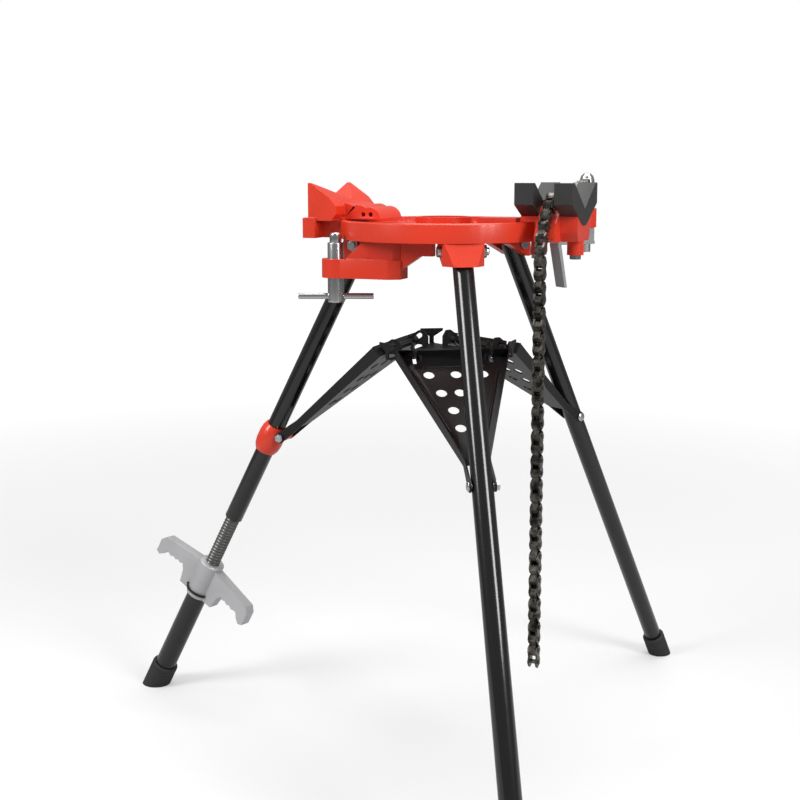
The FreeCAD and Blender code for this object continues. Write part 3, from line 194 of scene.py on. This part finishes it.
def finish(name, colour, rough, metal=0.0, coat=0.0, shine=0.5, grain=0.1, scale=300.0, vary=0.06,
           dirt=None, dirt_scale=14.0, dirt_share=0.5):
    """A shader with cloudy colour and gloss, and a fine bump of its own scale.

    colour' = colour * (1 - vary + 2 vary n), rough' = rough + spread (n - 0.5), where n is noise.
    With dirt, n mixes the dirt's colour and the metal's instead.
    """
    material = bpy.data.materials.new(name)
    material.use_nodes = True
    tree = material.node_tree
    shader = tree.nodes["Principled BSDF"]
    shader.inputs["Metallic"].default_value = metal
    shader.inputs["Coat Weight"].default_value = coat
    shader.inputs["Specular IOR Level"].default_value = shine
    shader.inputs["Coat Roughness"].default_value = 0.08
    clouds = noise_in(tree, dirt_scale, 5.0)
    ramp = tree.nodes.new("ShaderNodeValToRGB")
    low, high = ramp.color_ramp.elements
    low.position, high.position = (dirt_share - 0.16, dirt_share + 0.12) if dirt else (0.3, 0.7)
    low.color = (*(dirt or [c * (1 - vary) for c in colour]), 1)
    high.color = (*[min(1.0, c * (1 + vary)) for c in colour], 1)
    tree.links.new(clouds, ramp.inputs["Fac"])
    tree.links.new(ramp.outputs["Color"], shader.inputs["Base Color"])
    gloss = tree.nodes.new("ShaderNodeMapRange")
    gloss.inputs["To Min"].default_value = rough - ROUGH_SPREAD / 2
    gloss.inputs["To Max"].default_value = rough + ROUGH_SPREAD / 2
    tree.links.new(clouds, gloss.inputs["Value"])
    tree.links.new(gloss.outputs["Result"], shader.inputs["Roughness"])
    bump = tree.nodes.new("ShaderNodeBump")
    bump.inputs["Strength"].default_value = grain
    bump.inputs["Distance"].default_value = GRAIN_HEIGHT
    tree.links.new(noise_in(tree, scale, 3.0), bump.inputs["Height"])
    tree.links.new(bump.outputs["Normal"], shader.inputs["Normal"])
    return material


print("a helper for finishes")

# %% [markdown]
# The reds and blacks are paints with a thin clear coat.  The chain's oil gathers in small dark
# patches, so its two finishes mix a metal with a near black.

# %% The stand's finishes
RED = finish("red gloss paint", (0.60, 0.036, 0.014), 0.28, coat=0.14, shine=0.40, grain=0.10,
             scale=220, vary=0.07)
LEG_BLACK = finish("black gloss paint", (0.006, 0.0057, 0.0057), 0.20, coat=0.35, shine=0.4,
                   grain=0.05, scale=260)
TRAY_BLACK = finish("black satin paint", (0.0060, 0.0058, 0.0058), 0.42, coat=0.05, shine=0.28,
                    grain=0.08, scale=420)
JAW = finish("dark hardened steel", (0.026, 0.025, 0.026), 0.50, metal=0.3, grain=0.25,
             scale=380, vary=0.15)
ZINC = finish("bright zinc plate", (0.50, 0.50, 0.51), 0.24, metal=1.0, grain=0.06, scale=320)
GALVANISED = finish("dull galvanised steel", (0.13, 0.13, 0.125), 0.42, metal=0.8, grain=0.3,
                    scale=160, vary=0.2)
ALLOY = finish("cast grey alloy", (0.42, 0.42, 0.43), 0.42, metal=0.35, grain=0.3, scale=320,
               vary=0.08)
CHAIN = finish("oily chain steel", (0.12, 0.112, 0.098), 0.28, metal=0.85, grain=0.2, scale=500,
               dirt=(0.012, 0.010, 0.008), dirt_scale=90, dirt_share=0.52)
PIN = finish("chain pin heads", (0.22, 0.20, 0.17), 0.30, metal=0.9, grain=0.1, scale=500,
             dirt=(0.03, 0.026, 0.02), dirt_scale=90, dirt_share=0.45)
CRANK = finish("plain grey bar steel", (0.36, 0.36, 0.365), 0.38, metal=0.6, grain=0.15, scale=260)
RUBBER = finish("black rubber", (0.012, 0.012, 0.012), 0.7, grain=0.4, scale=350)
WIRE = finish("black spring wire", (0.010, 0.010, 0.010), 0.35, metal=0.4, grain=0.1)
print("finishes:", ", ".join(m.name for m in bpy.data.materials))

# %% [markdown]
# ## Cast and folded pieces
# A casting has no sharp edge anywhere: the mould rounds them all.  The model's own solid already
# has the shape, so a copy of it gets its doubled corners merged, its flat faces joined and every
# edge rounded by a Bevel modifier.  Folded sheet gets the same with a much smaller radius.

# %% Round the edges of a copy
MERGE = 2e-5
FLAT_WITHIN = math.radians(0.6)
EDGE_OVER = math.radians(28.0)
SHARP_OVER = math.radians(40.0)


def rounded_copy(node, material, width, segments=2):
    """A merged copy of a node's mesh with bevelled edges, standing for the node.

    Faces within FLAT_WITHIN of one plane are joined, and edges over EDGE_OVER are rounded.
    """
    source = frame["nodes"][node]
    work = bmesh.new()
    work.from_mesh(source.data)
    bmesh.ops.remove_doubles(work, verts=work.verts, dist=MERGE)
    bmesh.ops.dissolve_limit(work, angle_limit=FLAT_WITHIN, verts=work.verts, edges=work.edges)
    mesh = bpy.data.meshes.new(node + "_shape")
    work.to_mesh(mesh)
    work.free()
    mesh.materials.append(material)
    mesh.shade_smooth()
    mesh.set_sharp_from_angle(angle=SHARP_OVER)
    piece = bpy.data.objects.new(node + "_shape", mesh)
    bpy.context.scene.collection.objects.link(piece)
    bevel = piece.modifiers.new("round edges", "BEVEL")
    bevel.width = width
    bevel.segments = segments
    bevel.limit_method = "ANGLE"
    bevel.angle_limit = EDGE_OVER
    bevel.harden_normals = True
    bevel.use_clamp_overlap = True
    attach(piece, body_of(source)[0])
    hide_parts(node)
    return piece


print("a helper that rounds the edges of a copy")

# %% Castings
CASTING_EDGES = {"base_tray": 0.0022, "brace_bracket": 0.003, "pipe_rest": 0.0028,
                 "vise_head": 0.0026}
for node, width in CASTING_EDGES.items():
    rounded_copy(node, RED, width, 3)
print(len(CASTING_EDGES), "red castings have rounded edges")

# %% [markdown]
# The jaws are machined, so their edges are only broken.  The leg handle is a soft alloy casting with
# the roundest edges of all, made to be gripped.

# %% Jaws, handle and sheet
JAW_EDGE = 0.0012
HANDLE_EDGE = 0.0045
SHEET_EDGE = 0.0004
for node in ("jaw_rear", "jaw_front"):
    rounded_copy(node, JAW, JAW_EDGE)
rounded_copy("rear_leg_handle", ALLOY, HANDLE_EDGE, 4)
for node in ("panel_right", "panel_left", "panel_rear", "tray_hub"):
    rounded_copy(node, TRAY_BLACK, SHEET_EDGE, 1)
print("jaws, handle and tray sheet have rounded edges")

# %% Crank, bolts, collar and clip
BAR_EDGE = 0.0008
BOLT_EDGE = 0.0006
COLLAR_EDGE = 0.0016
WIRE_EDGE = 0.0005
rounded_copy("crank", CRANK, BAR_EDGE)
for node in ("leg_pivot_bolts", "jaw_bolts", "collar_screw", "ear_bolt_right", "ear_bolt_left",
             "ear_bolt_rear", "chain_screw"):
    rounded_copy(node, ZINC, BOLT_EDGE)
rounded_copy("rear_collar", RED, COLLAR_EDGE, 3)
rounded_copy("handle_clip", WIRE, WIRE_EDGE, 2)
print("crank, bolts, collar and clip have rounded edges")

# %% [markdown]
# ## Pressed ribs of the tray
# Each panel is stiffened by ribs pressed up into its sheet: one along the hub and one beside each
# folded edge.  A rib is a sausage with an oval section, sunk to its middle line in the sheet.

# %% Pressed ribs
RIB_WIDTH = 0.0026
RIB_HEIGHT = 0.0014


def rib(start, stop, rows=28, columns=16):
    """Sausage p = start + t (stop - start) + e (w cos b n + h sin b z), n across the rib in the sheet.

    The fullness e is 1 along the middle.  Within two and a half widths of an end it is
    sqrt(1 - (1 - d)^2), a quarter circle, where d is the share of that way from the end.
    """
    start, stop = np.array(start, float), np.array(stop, float)
    length = np.linalg.norm(stop - start)
    t = 0.5 - 0.5 * np.cos(np.linspace(0, np.pi, rows))
    edge = np.minimum(t, 1 - t) * length / (2.5 * RIB_WIDTH)
    e = np.sqrt(np.clip(1 - (1 - np.clip(edge, 0, 1)) ** 2, 0, 1))
    along = (stop - start) / length
    side = np.array([-along[1], along[0], 0])
    b = np.linspace(0, 2 * np.pi, columns, endpoint=False)
    ring = (np.cos(b)[:, None] * side * RIB_WIDTH
            + np.sin(b)[:, None] * np.array([0, 0, 1]) * RIB_HEIGHT)
    grid = start + t[:, None, None] * (stop - start) + e[:, None, None] * ring[None]
    return grid.reshape(-1, 3), grid_faces(rows, columns, False, True)


print("a helper for ribs %.1f mm high" % (1000 * RIB_HEIGHT))

# %% Ribs on the panels
HINGE_RADIUS = 0.076
HINGE_HEIGHT = DECK - 0.208
SHEET_TOP = -0.0050
TILT = {"right": math.radians(33.50), "left": math.radians(33.50), "rear": math.radians(38.53)}
HUB_RIB = ((0.0255, -0.050, SHEET_TOP), (0.0255, 0.050, SHEET_TOP))
EDGE_RIB = ((0.034, 0.0690, SHEET_TOP), (0.172, 0.0264, SHEET_TOP))
for side in AZIMUTH:
    panel_frame = (about_hub(AZIMUTH[side]) @ Matrix.Translation((HINGE_RADIUS, 0, HINGE_HEIGHT))
                   @ Matrix.Rotation(TILT[side], 4, "Y"))
    ribs = [rib(*HUB_RIB)]
    for sign in (-1, 1):
        ribs.append(rib(*(np.array(end) * (1, sign, 1) for end in EDGE_RIB)))
    ribs = [(place_points(points, panel_frame), faces) for points, faces in ribs]
    points, faces = join_arrays(ribs)
    piece = add_mesh("ribs_" + side, points, faces, TRAY_BLACK, 60)
    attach(piece, side + "_panel")
    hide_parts("panel_" + side)
print("nine pressed ribs")

# %% [markdown]
# ## Tubes, feet and screws
# These are round, so each is a profile carried about its own axis.  A foot is moulded round the
# tube and worn flat on the floor: points below the floor slide back up along the leg.

# %% Dress a node with a new surface
def dress(name, nodes, parts, material, sharp=35.0):
    """One closed surface from arrays, riding on the body of the nodes that it stands for."""
    points, faces = join_arrays(parts)
    piece = add_mesh(name, points, faces, material, sharp)
    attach(piece, body_of(frame["nodes"][nodes[0]])[0])
    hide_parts(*nodes)
    return piece


def arc_points(centre_r, centre_z, radius, start, stop, count):
    """Profile points r = cr + R cos t, z = cz + R sin t, between two angles in degrees."""
    t = np.radians(np.linspace(start, stop, count))
    return np.stack([centre_r + radius * np.cos(t), centre_z + radius * np.sin(t)], 1)


print("helpers that dress a node and round a profile")

# %% Leg tubes
TUBE = 0.015875
TUBE_WALL = 0.0026
TUBE_EDGE = 0.0005
TUBE_STOP = 0.02
LOWER = 0.01905
LOWER_WALL = 0.003
SEAT = 0.016
HANDLE_DEEP = 0.071
HANDLE_TOP = LEG_LONG - 0.2135 - HANDLE_DEEP
SCREW_SHOW = 0.101
UPPER = HANDLE_TOP - SCREW_SHOW
for side in AZIMUTH:
    end = -UPPER if side == "rear" else SEAT - LEG_LONG
    dome = arc_points(0, 0.0008, TUBE, 90, 0, 12)
    dome[0, 0] = 0
    edge = arc_points(TUBE - TUBE_EDGE, end + TUBE_EDGE, TUBE_EDGE, 0, -90, 4)
    inside = TUBE - TUBE_WALL
    wall = np.array([[inside, end], [inside, end + TUBE_STOP], [0, end + TUBE_STOP]])
    tube = revolve(np.concatenate([dome, edge, wall]), leg_frame(side), 72)
    dress("leg_tube_" + side, ["leg_" + side], [tube], LEG_BLACK)
print("three tubes, %.3f m and %.3f m long" % (LEG_LONG - SEAT, UPPER))

# %% [markdown]
# A boot is a thick rubber cap with two grooves near its mouth.  It is drawn too long, straight down
# the leg, and each point below the floor then slides back up along the leg until Z is 0.

# %% Rubber feet
BOOT_WALL = 0.005
BOOT_LONG = 0.048
BOOT_EXTRA = 0.03
GROOVE_HALF = 0.0016
GROOVE_DEPTH = 0.0009
MOUTH_ROUND = 0.0024


def boot(side, radius):
    """A boot revolved about a leg's end, open down to its seat, cut off at Z = 0.

    A point with z < 0 moves by -z / a_z times a, where a is the direction up the leg.
    """
    wall = radius + BOOT_WALL
    top = BOOT_LONG - LEG_LONG
    rows = [[0, -LEG_LONG - BOOT_EXTRA], [wall, -LEG_LONG - BOOT_EXTRA]]
    for height in np.linspace(-LEG_LONG - 0.02, top - 0.02, 8):
        rows.append([wall, height])
    for groove in (top - 0.016, top - 0.010):
        rows += [[wall, groove - GROOVE_HALF], [wall - GROOVE_DEPTH, groove - 0.0006],
                 [wall - GROOVE_DEPTH, groove + 0.0006], [wall, groove + GROOVE_HALF]]
    rows += arc_points(wall - MOUTH_ROUND, top - MOUTH_ROUND, MOUTH_ROUND, 0, 90, 6).tolist()
    rows += [[radius, top - 0.0002], [radius, SEAT - LEG_LONG], [0, SEAT - LEG_LONG]]
    points, faces = revolve(rows, leg_frame(side), 64)
    along = np.array(leg_frame(side).to_3x3() @ Vector((0, 0, 1)))
    sunk = np.maximum(0, -points[:, 2])
    return points + np.outer(sunk / along[2], along), faces


for side in AZIMUTH:
    dress("boot_" + side, ["foot_" + side], [boot(side, LOWER if side == "rear" else TUBE)], RUBBER)
print("three feet stand on the floor")

# %% [markdown]
# ## The leg screw
# The screw of the rear leg has a coarse rounded thread.  A thread is a rod whose radius depends on
# how far a point is round the helix: r = R - d h(z / p - a / 2 pi), where h is a flattened triangle
# wave, p the pitch and d the depth.  Ten rows to a turn are enough to see it clearly.

# %% A threaded rod
END_BREAK = 0.0006


def threaded(radius, depth, pitch, low, high, matrix, segments=48):
    """A rod along Z with a trapezoidal thread that fades out within one pitch of either end."""
    rows = int((high - low) / pitch * 10) + 2
    z = np.linspace(low, high, rows)
    a = np.linspace(0, 2 * np.pi, segments, endpoint=False)
    turn = z[:, None] / pitch - a[None, :] / (2 * np.pi)
    wave = np.clip(1.6 * np.abs(2 * (turn % 1.0) - 1) - 0.3, 0, 1)
    fade = np.clip((z - low) / pitch, 0, 1) * np.clip((high - z) / pitch, 0, 1)
    r = radius - depth * wave * fade[:, None]
    r[0] = r[-1] = radius - END_BREAK
    grid = np.stack([r * np.cos(a), r * np.sin(a), np.repeat(z[:, None], segments, 1)], 2)
    ends = np.array([[[0, 0, z[0]]], [[0, 0, z[-1]]]])
    points = place_points(np.concatenate([ends[0], grid.reshape(-1, 3), ends[1]]), matrix)
    j = np.arange(segments)
    k = (j + 1) % segments
    last = 1 + (rows - 1) * segments
    faces = (grid_faces(rows, segments, False, True) + 1).tolist()
    faces += np.stack([0 * j, 1 + j, 1 + k], 1).tolist()
    faces += np.stack([0 * j + len(points) - 1, last + k, last + j], 1).tolist()
    return points, faces


print("a helper for threads")

# %% Leg screw and lower tube
SCREW_HIDDEN = 0.098
SCREW_GRIP = 0.09
PLUG = 0.0131
screw_low = -HANDLE_TOP - HANDLE_DEEP - SCREW_HIDDEN
rod = threaded(0.0129, 0.0013, 0.006, screw_low, -UPPER + 0.004, leg_frame("rear"))
plug = revolve([[0, -UPPER + 0.0005], [PLUG, -UPPER + 0.0005], [PLUG, -UPPER + SCREW_GRIP],
                [0, -UPPER + SCREW_GRIP]], leg_frame("rear"), 48)
dress("leg_screw", ["rear_leg_screw"], [rod, plug], GALVANISED, 50)

tube_top = -HANDLE_TOP - HANDLE_DEEP - 0.0001
tube_low = SEAT - LEG_LONG
bore = LOWER - LOWER_WALL
sleeve = revolve([[bore, tube_top], [LOWER - 0.0004, tube_top], [LOWER, tube_top - 0.0004],
                  [LOWER, tube_low], [bore, tube_low], [bore, tube_top]], leg_frame("rear"), 72)
dress("lower_tube", ["rear_leg_lower"], [sleeve], LEG_BLACK)
print("leg screw of %.3f m, lower tube of %.3f m" % (-UPPER - screw_low, tube_top - tube_low))

# %% [markdown]
# ## The ceiling brace
# A smooth plated rod stands through the boss of the bracket.  A domed cap turns freely on a peg at
# its top, and a bar with rounded ends slides in a cross hole near its foot.  All three are profiles
# carried about an axis, with quarter circles where the turner broke the edges.

# %% Brace rod, cap and bar
BRACE_REACH = 0.168 + 0.0151
BRACE_TURN = math.radians(40.1)
BRACE = (HUB - BRACE_REACH * math.cos(BRACE_TURN), -BRACE_REACH * math.sin(BRACE_TURN))
ROD = 0.013
ROD_FOOT = 0.003
ROD_EDGE = 0.0008
PEG = 0.004
CAP = 0.0095
CAP_HIGH = 0.016
BAR = 0.0048
BAR_HALF = 0.060
BAR_ROUND = 0.0014
BAR_TURN = math.radians(21.8)
over_brace = Matrix.Translation((BRACE[0], BRACE[1], 0))
boss_top = DECK - 0.059
brace_low, brace_top = boss_top - 0.030 - 0.040, boss_top + 0.025
foot = arc_points(ROD - ROD_FOOT, brace_low + ROD_FOOT, ROD_FOOT, -90, 0, 7)
head = arc_points(ROD - ROD_EDGE, brace_top - ROD_EDGE, ROD_EDGE, 0, 90, 4)
shaft = revolve(np.concatenate([[[0, brace_low]], foot, head, [[0, brace_top]]]), over_brace, 64)
peg = revolve([[0, brace_top - 0.001], [PEG, brace_top - 0.001], [PEG, brace_top + 0.0099],
               [0, brace_top + 0.0099]], over_brace, 32)
dress("brace_rod", ["brace_screw"], [shaft, peg], ZINC, 50)
inside = [[0, brace_top + 0.0101], [PEG + 0.00008, brace_top + 0.0101],
          [PEG + 0.00008, brace_top + 0.0002]]
outside = [arc_points(CAP - ROD_EDGE, brace_top + 0.001, ROD_EDGE, -90, 0, 4),
           arc_points(CAP - 0.004, brace_top + CAP_HIGH - 0.004, 0.004, 0, 90, 8)]
knob = np.concatenate([inside, *outside, [[0, brace_top + CAP_HIGH]]])
dress("brace_knob", ["brace_cap"], [revolve(knob, over_brace, 40)], ZINC)
across = (Matrix.Translation((BRACE[0], BRACE[1], brace_low + 0.010))
          @ Matrix.Rotation(BAR_TURN, 4, "Z") @ Matrix.Rotation(math.pi / 2, 4, "Y"))
ends = [arc_points(BAR - BAR_ROUND, -BAR_HALF + BAR_ROUND, BAR_ROUND, -90, 0, 5),
        arc_points(BAR - BAR_ROUND, BAR_HALF - BAR_ROUND, BAR_ROUND, 0, 90, 5)]
bar = revolve(np.concatenate([[[0, -BAR_HALF]], *ends, [[0, BAR_HALF]]]), across, 40)
dress("brace_bar", ["brace_t_bar"], [bar], ZINC)
print("brace rod of %.3f m, a cap and a bar of %.3f m" % (brace_top - brace_low, 2 * BAR_HALF))

# %% [markdown]
# ## The chain and the small pins
# The chain is a roller chain with toothed outer plates.  Its plates, links and pins are true solids
# in the model already, so they keep their meshes and only take a finish, and so do the small pins.

# %% Chain and pins
own = {"chain_screw_pin": ZINC}
for side in AZIMUTH:
    own["hinge_pin_" + side] = JAW
for run in ("lead", "drape", "tail"):
    own["chain_%s_plates" % run] = CHAIN
    own["chain_%s_links" % run] = CHAIN
    own["chain_%s_pins" % run] = PIN
for node, material in own.items():
    mesh = frame["nodes"][node].data
    mesh.materials.clear()
    mesh.materials.append(material)
print(len(own), "nodes keep their mesh")

# %% [markdown]
# ## Floor, light and camera
# A flat matt floor lies in an even white world.  A white floor would throw so much light up that
# the undersides look flat, so this one is grey and glows white for the camera alone.  The glow is
# weaker near the stand, where the lamps light the floor and its shadow shows.

# %% What the camera sees directly
def seen_directly(tree):
    """A socket that is 1 for rays from the camera or through glass, and 0 for all other rays."""
    rays = tree.nodes.new("ShaderNodeLightPath")
    most = tree.nodes.new("ShaderNodeMath")
    most.operation = "MAXIMUM"
    tree.links.new(rays.outputs["Is Camera Ray"], most.inputs[0])
    tree.links.new(rays.outputs["Is Transmission Ray"], most.inputs[1])
    return most.outputs[0]


print("one helper for the floor and the world")

# %% A floor that glows for the camera
FLOOR_GREY = 0.45
GLOW_NEAR, GLOW_FAR = 0.32, 0.86
GLOW_FROM, GLOW_TO = 0.8, 4.5


def white_floor(material):
    """Matt grey with a white glow g = near + (far - near) smoothstep(distance), seen directly."""
    tree = material.node_tree
    nodes, links = tree.nodes, tree.links
    shader = nodes["Principled BSDF"]
    shader.inputs["Base Color"].default_value = (FLOOR_GREY, FLOOR_GREY, FLOOR_GREY, 1)
    shader.inputs["Roughness"].default_value = 0.95
    shader.inputs["Emission Color"].default_value = (1, 1, 1, 1)
    distance = nodes.new("ShaderNodeVectorMath")
    distance.operation = "LENGTH"
    links.new(nodes.new("ShaderNodeTexCoord").outputs["Object"], distance.inputs[0])
    glow = nodes.new("ShaderNodeMapRange")
    glow.interpolation_type = "SMOOTHSTEP"
    glow.inputs["From Min"].default_value = GLOW_FROM
    glow.inputs["From Max"].default_value = GLOW_TO
    glow.inputs["To Min"].default_value = GLOW_NEAR
    glow.inputs["To Max"].default_value = GLOW_FAR
    links.new(distance.outputs["Value"], glow.inputs["Value"])
    scale = nodes.new("ShaderNodeMath")
    scale.operation = "MULTIPLY"
    links.new(seen_directly(tree), scale.inputs[0])
    links.new(glow.outputs["Result"], scale.inputs[1])
    links.new(scale.outputs[0], shader.inputs["Emission Strength"])


print("glow from %.2f near the stand to %.2f far away" % (GLOW_NEAR, GLOW_FAR))

# %% Floor
FLOOR_HALF = 30.0
floor_mesh = bpy.data.meshes.new("studio_floor")
corners = [(-FLOOR_HALF, -FLOOR_HALF, 0), (FLOOR_HALF, -FLOOR_HALF, 0),
           (FLOOR_HALF, FLOOR_HALF, 0), (-FLOOR_HALF, FLOOR_HALF, 0)]
floor_mesh.from_pydata(corners, [], [(0, 1, 2, 3)])
floor = bpy.data.objects.new("studio_floor", floor_mesh)
bpy.context.scene.collection.objects.link(floor)
white = bpy.data.materials.new("white floor")
white.use_nodes = True
white_floor(white)
floor_mesh.materials.append(white)
print("a floor of %.0f m by %.0f m" % (2 * FLOOR_HALF, 2 * FLOOR_HALF))

# %% [markdown]
# The world is pure white where the camera sees it.  For every other ray it is much dimmer, so the
# black tubes stay black and only the lamps draw streaks on them.

# %% World
FILL = 0.30
world = bpy.data.worlds.new("studio")
bpy.context.scene.world = world
world.use_nodes = True
nodes, links = world.node_tree.nodes, world.node_tree.links
nodes.clear()
mix = nodes.new("ShaderNodeMixShader")
links.new(seen_directly(world.node_tree), mix.inputs["Fac"])
for place, strength in ((1, FILL), (2, 1.0)):
    sky = nodes.new("ShaderNodeBackground")
    sky.inputs["Color"].default_value = (1, 1, 1, 1)
    sky.inputs["Strength"].default_value = strength
    links.new(sky.outputs[0], mix.inputs[place])
out = nodes.new("ShaderNodeOutputWorld")
links.new(mix.outputs[0], out.inputs["Surface"])
print("a white world that fills at %.2f" % FILL)

# %% [markdown]
# Two tall soft lamps stand left and right in front, and a wide one hangs above.  Their size sets how
# broad the streaks on the paint are.

# %% Lamps
def soft_lamp(name, place, target, size, power):
    """A rectangular area lamp at a place, aimed at a target."""
    light = bpy.data.lights.new(name, "AREA")
    light.shape = "RECTANGLE"
    light.size, light.size_y = size
    light.energy = power
    lamp = bpy.data.objects.new(name, light)
    bpy.context.scene.collection.objects.link(lamp)
    lamp.location = place
    lamp.rotation_euler = (Vector(target) - Vector(place)).to_track_quat("-Z", "Y").to_euler()
    return lamp


soft_lamp("left_softbox", (-2.0, -2.2, 2.5), (0.1, 0, 0.6), (1.2, 1.9), 100)
soft_lamp("right_softbox", (2.9, -1.2, 2.2), (0.2, 0, 0.7), (1.1, 1.9), 96)
soft_lamp("top_softbox", (0.2, 0.4, 3.2), (0.2, 0, 0.6), (2.0, 2.0), 66)
print("three lamps")

# %% [markdown]
# The camera stands at a person's chest height, looks slightly down and is turned so that the near
# leg crosses the tray.  A shift of the lens keeps the whole stand in the frame.

# %% Camera
lens = bpy.data.cameras.new("studio_camera")
lens.sensor_fit = "HORIZONTAL"
lens.sensor_width = 36.0
lens.lens = 53.76
lens.shift_y = -0.073
lens.clip_end = 100
camera = bpy.data.objects.new("studio_camera", lens)
bpy.context.scene.collection.objects.link(camera)
camera.location = (0.6564 + HUB, -1.8386, 0.9598)
camera.rotation_euler = (math.radians(82.0), 0, math.radians(21.76))
bpy.context.scene.camera = camera
bpy.context.scene.view_settings.view_transform = "Standard"
print("camera at", tuple(round(v, 3) for v in camera.location))

# %% [markdown]
# ## End

# %% Finish
print("the scene is built")
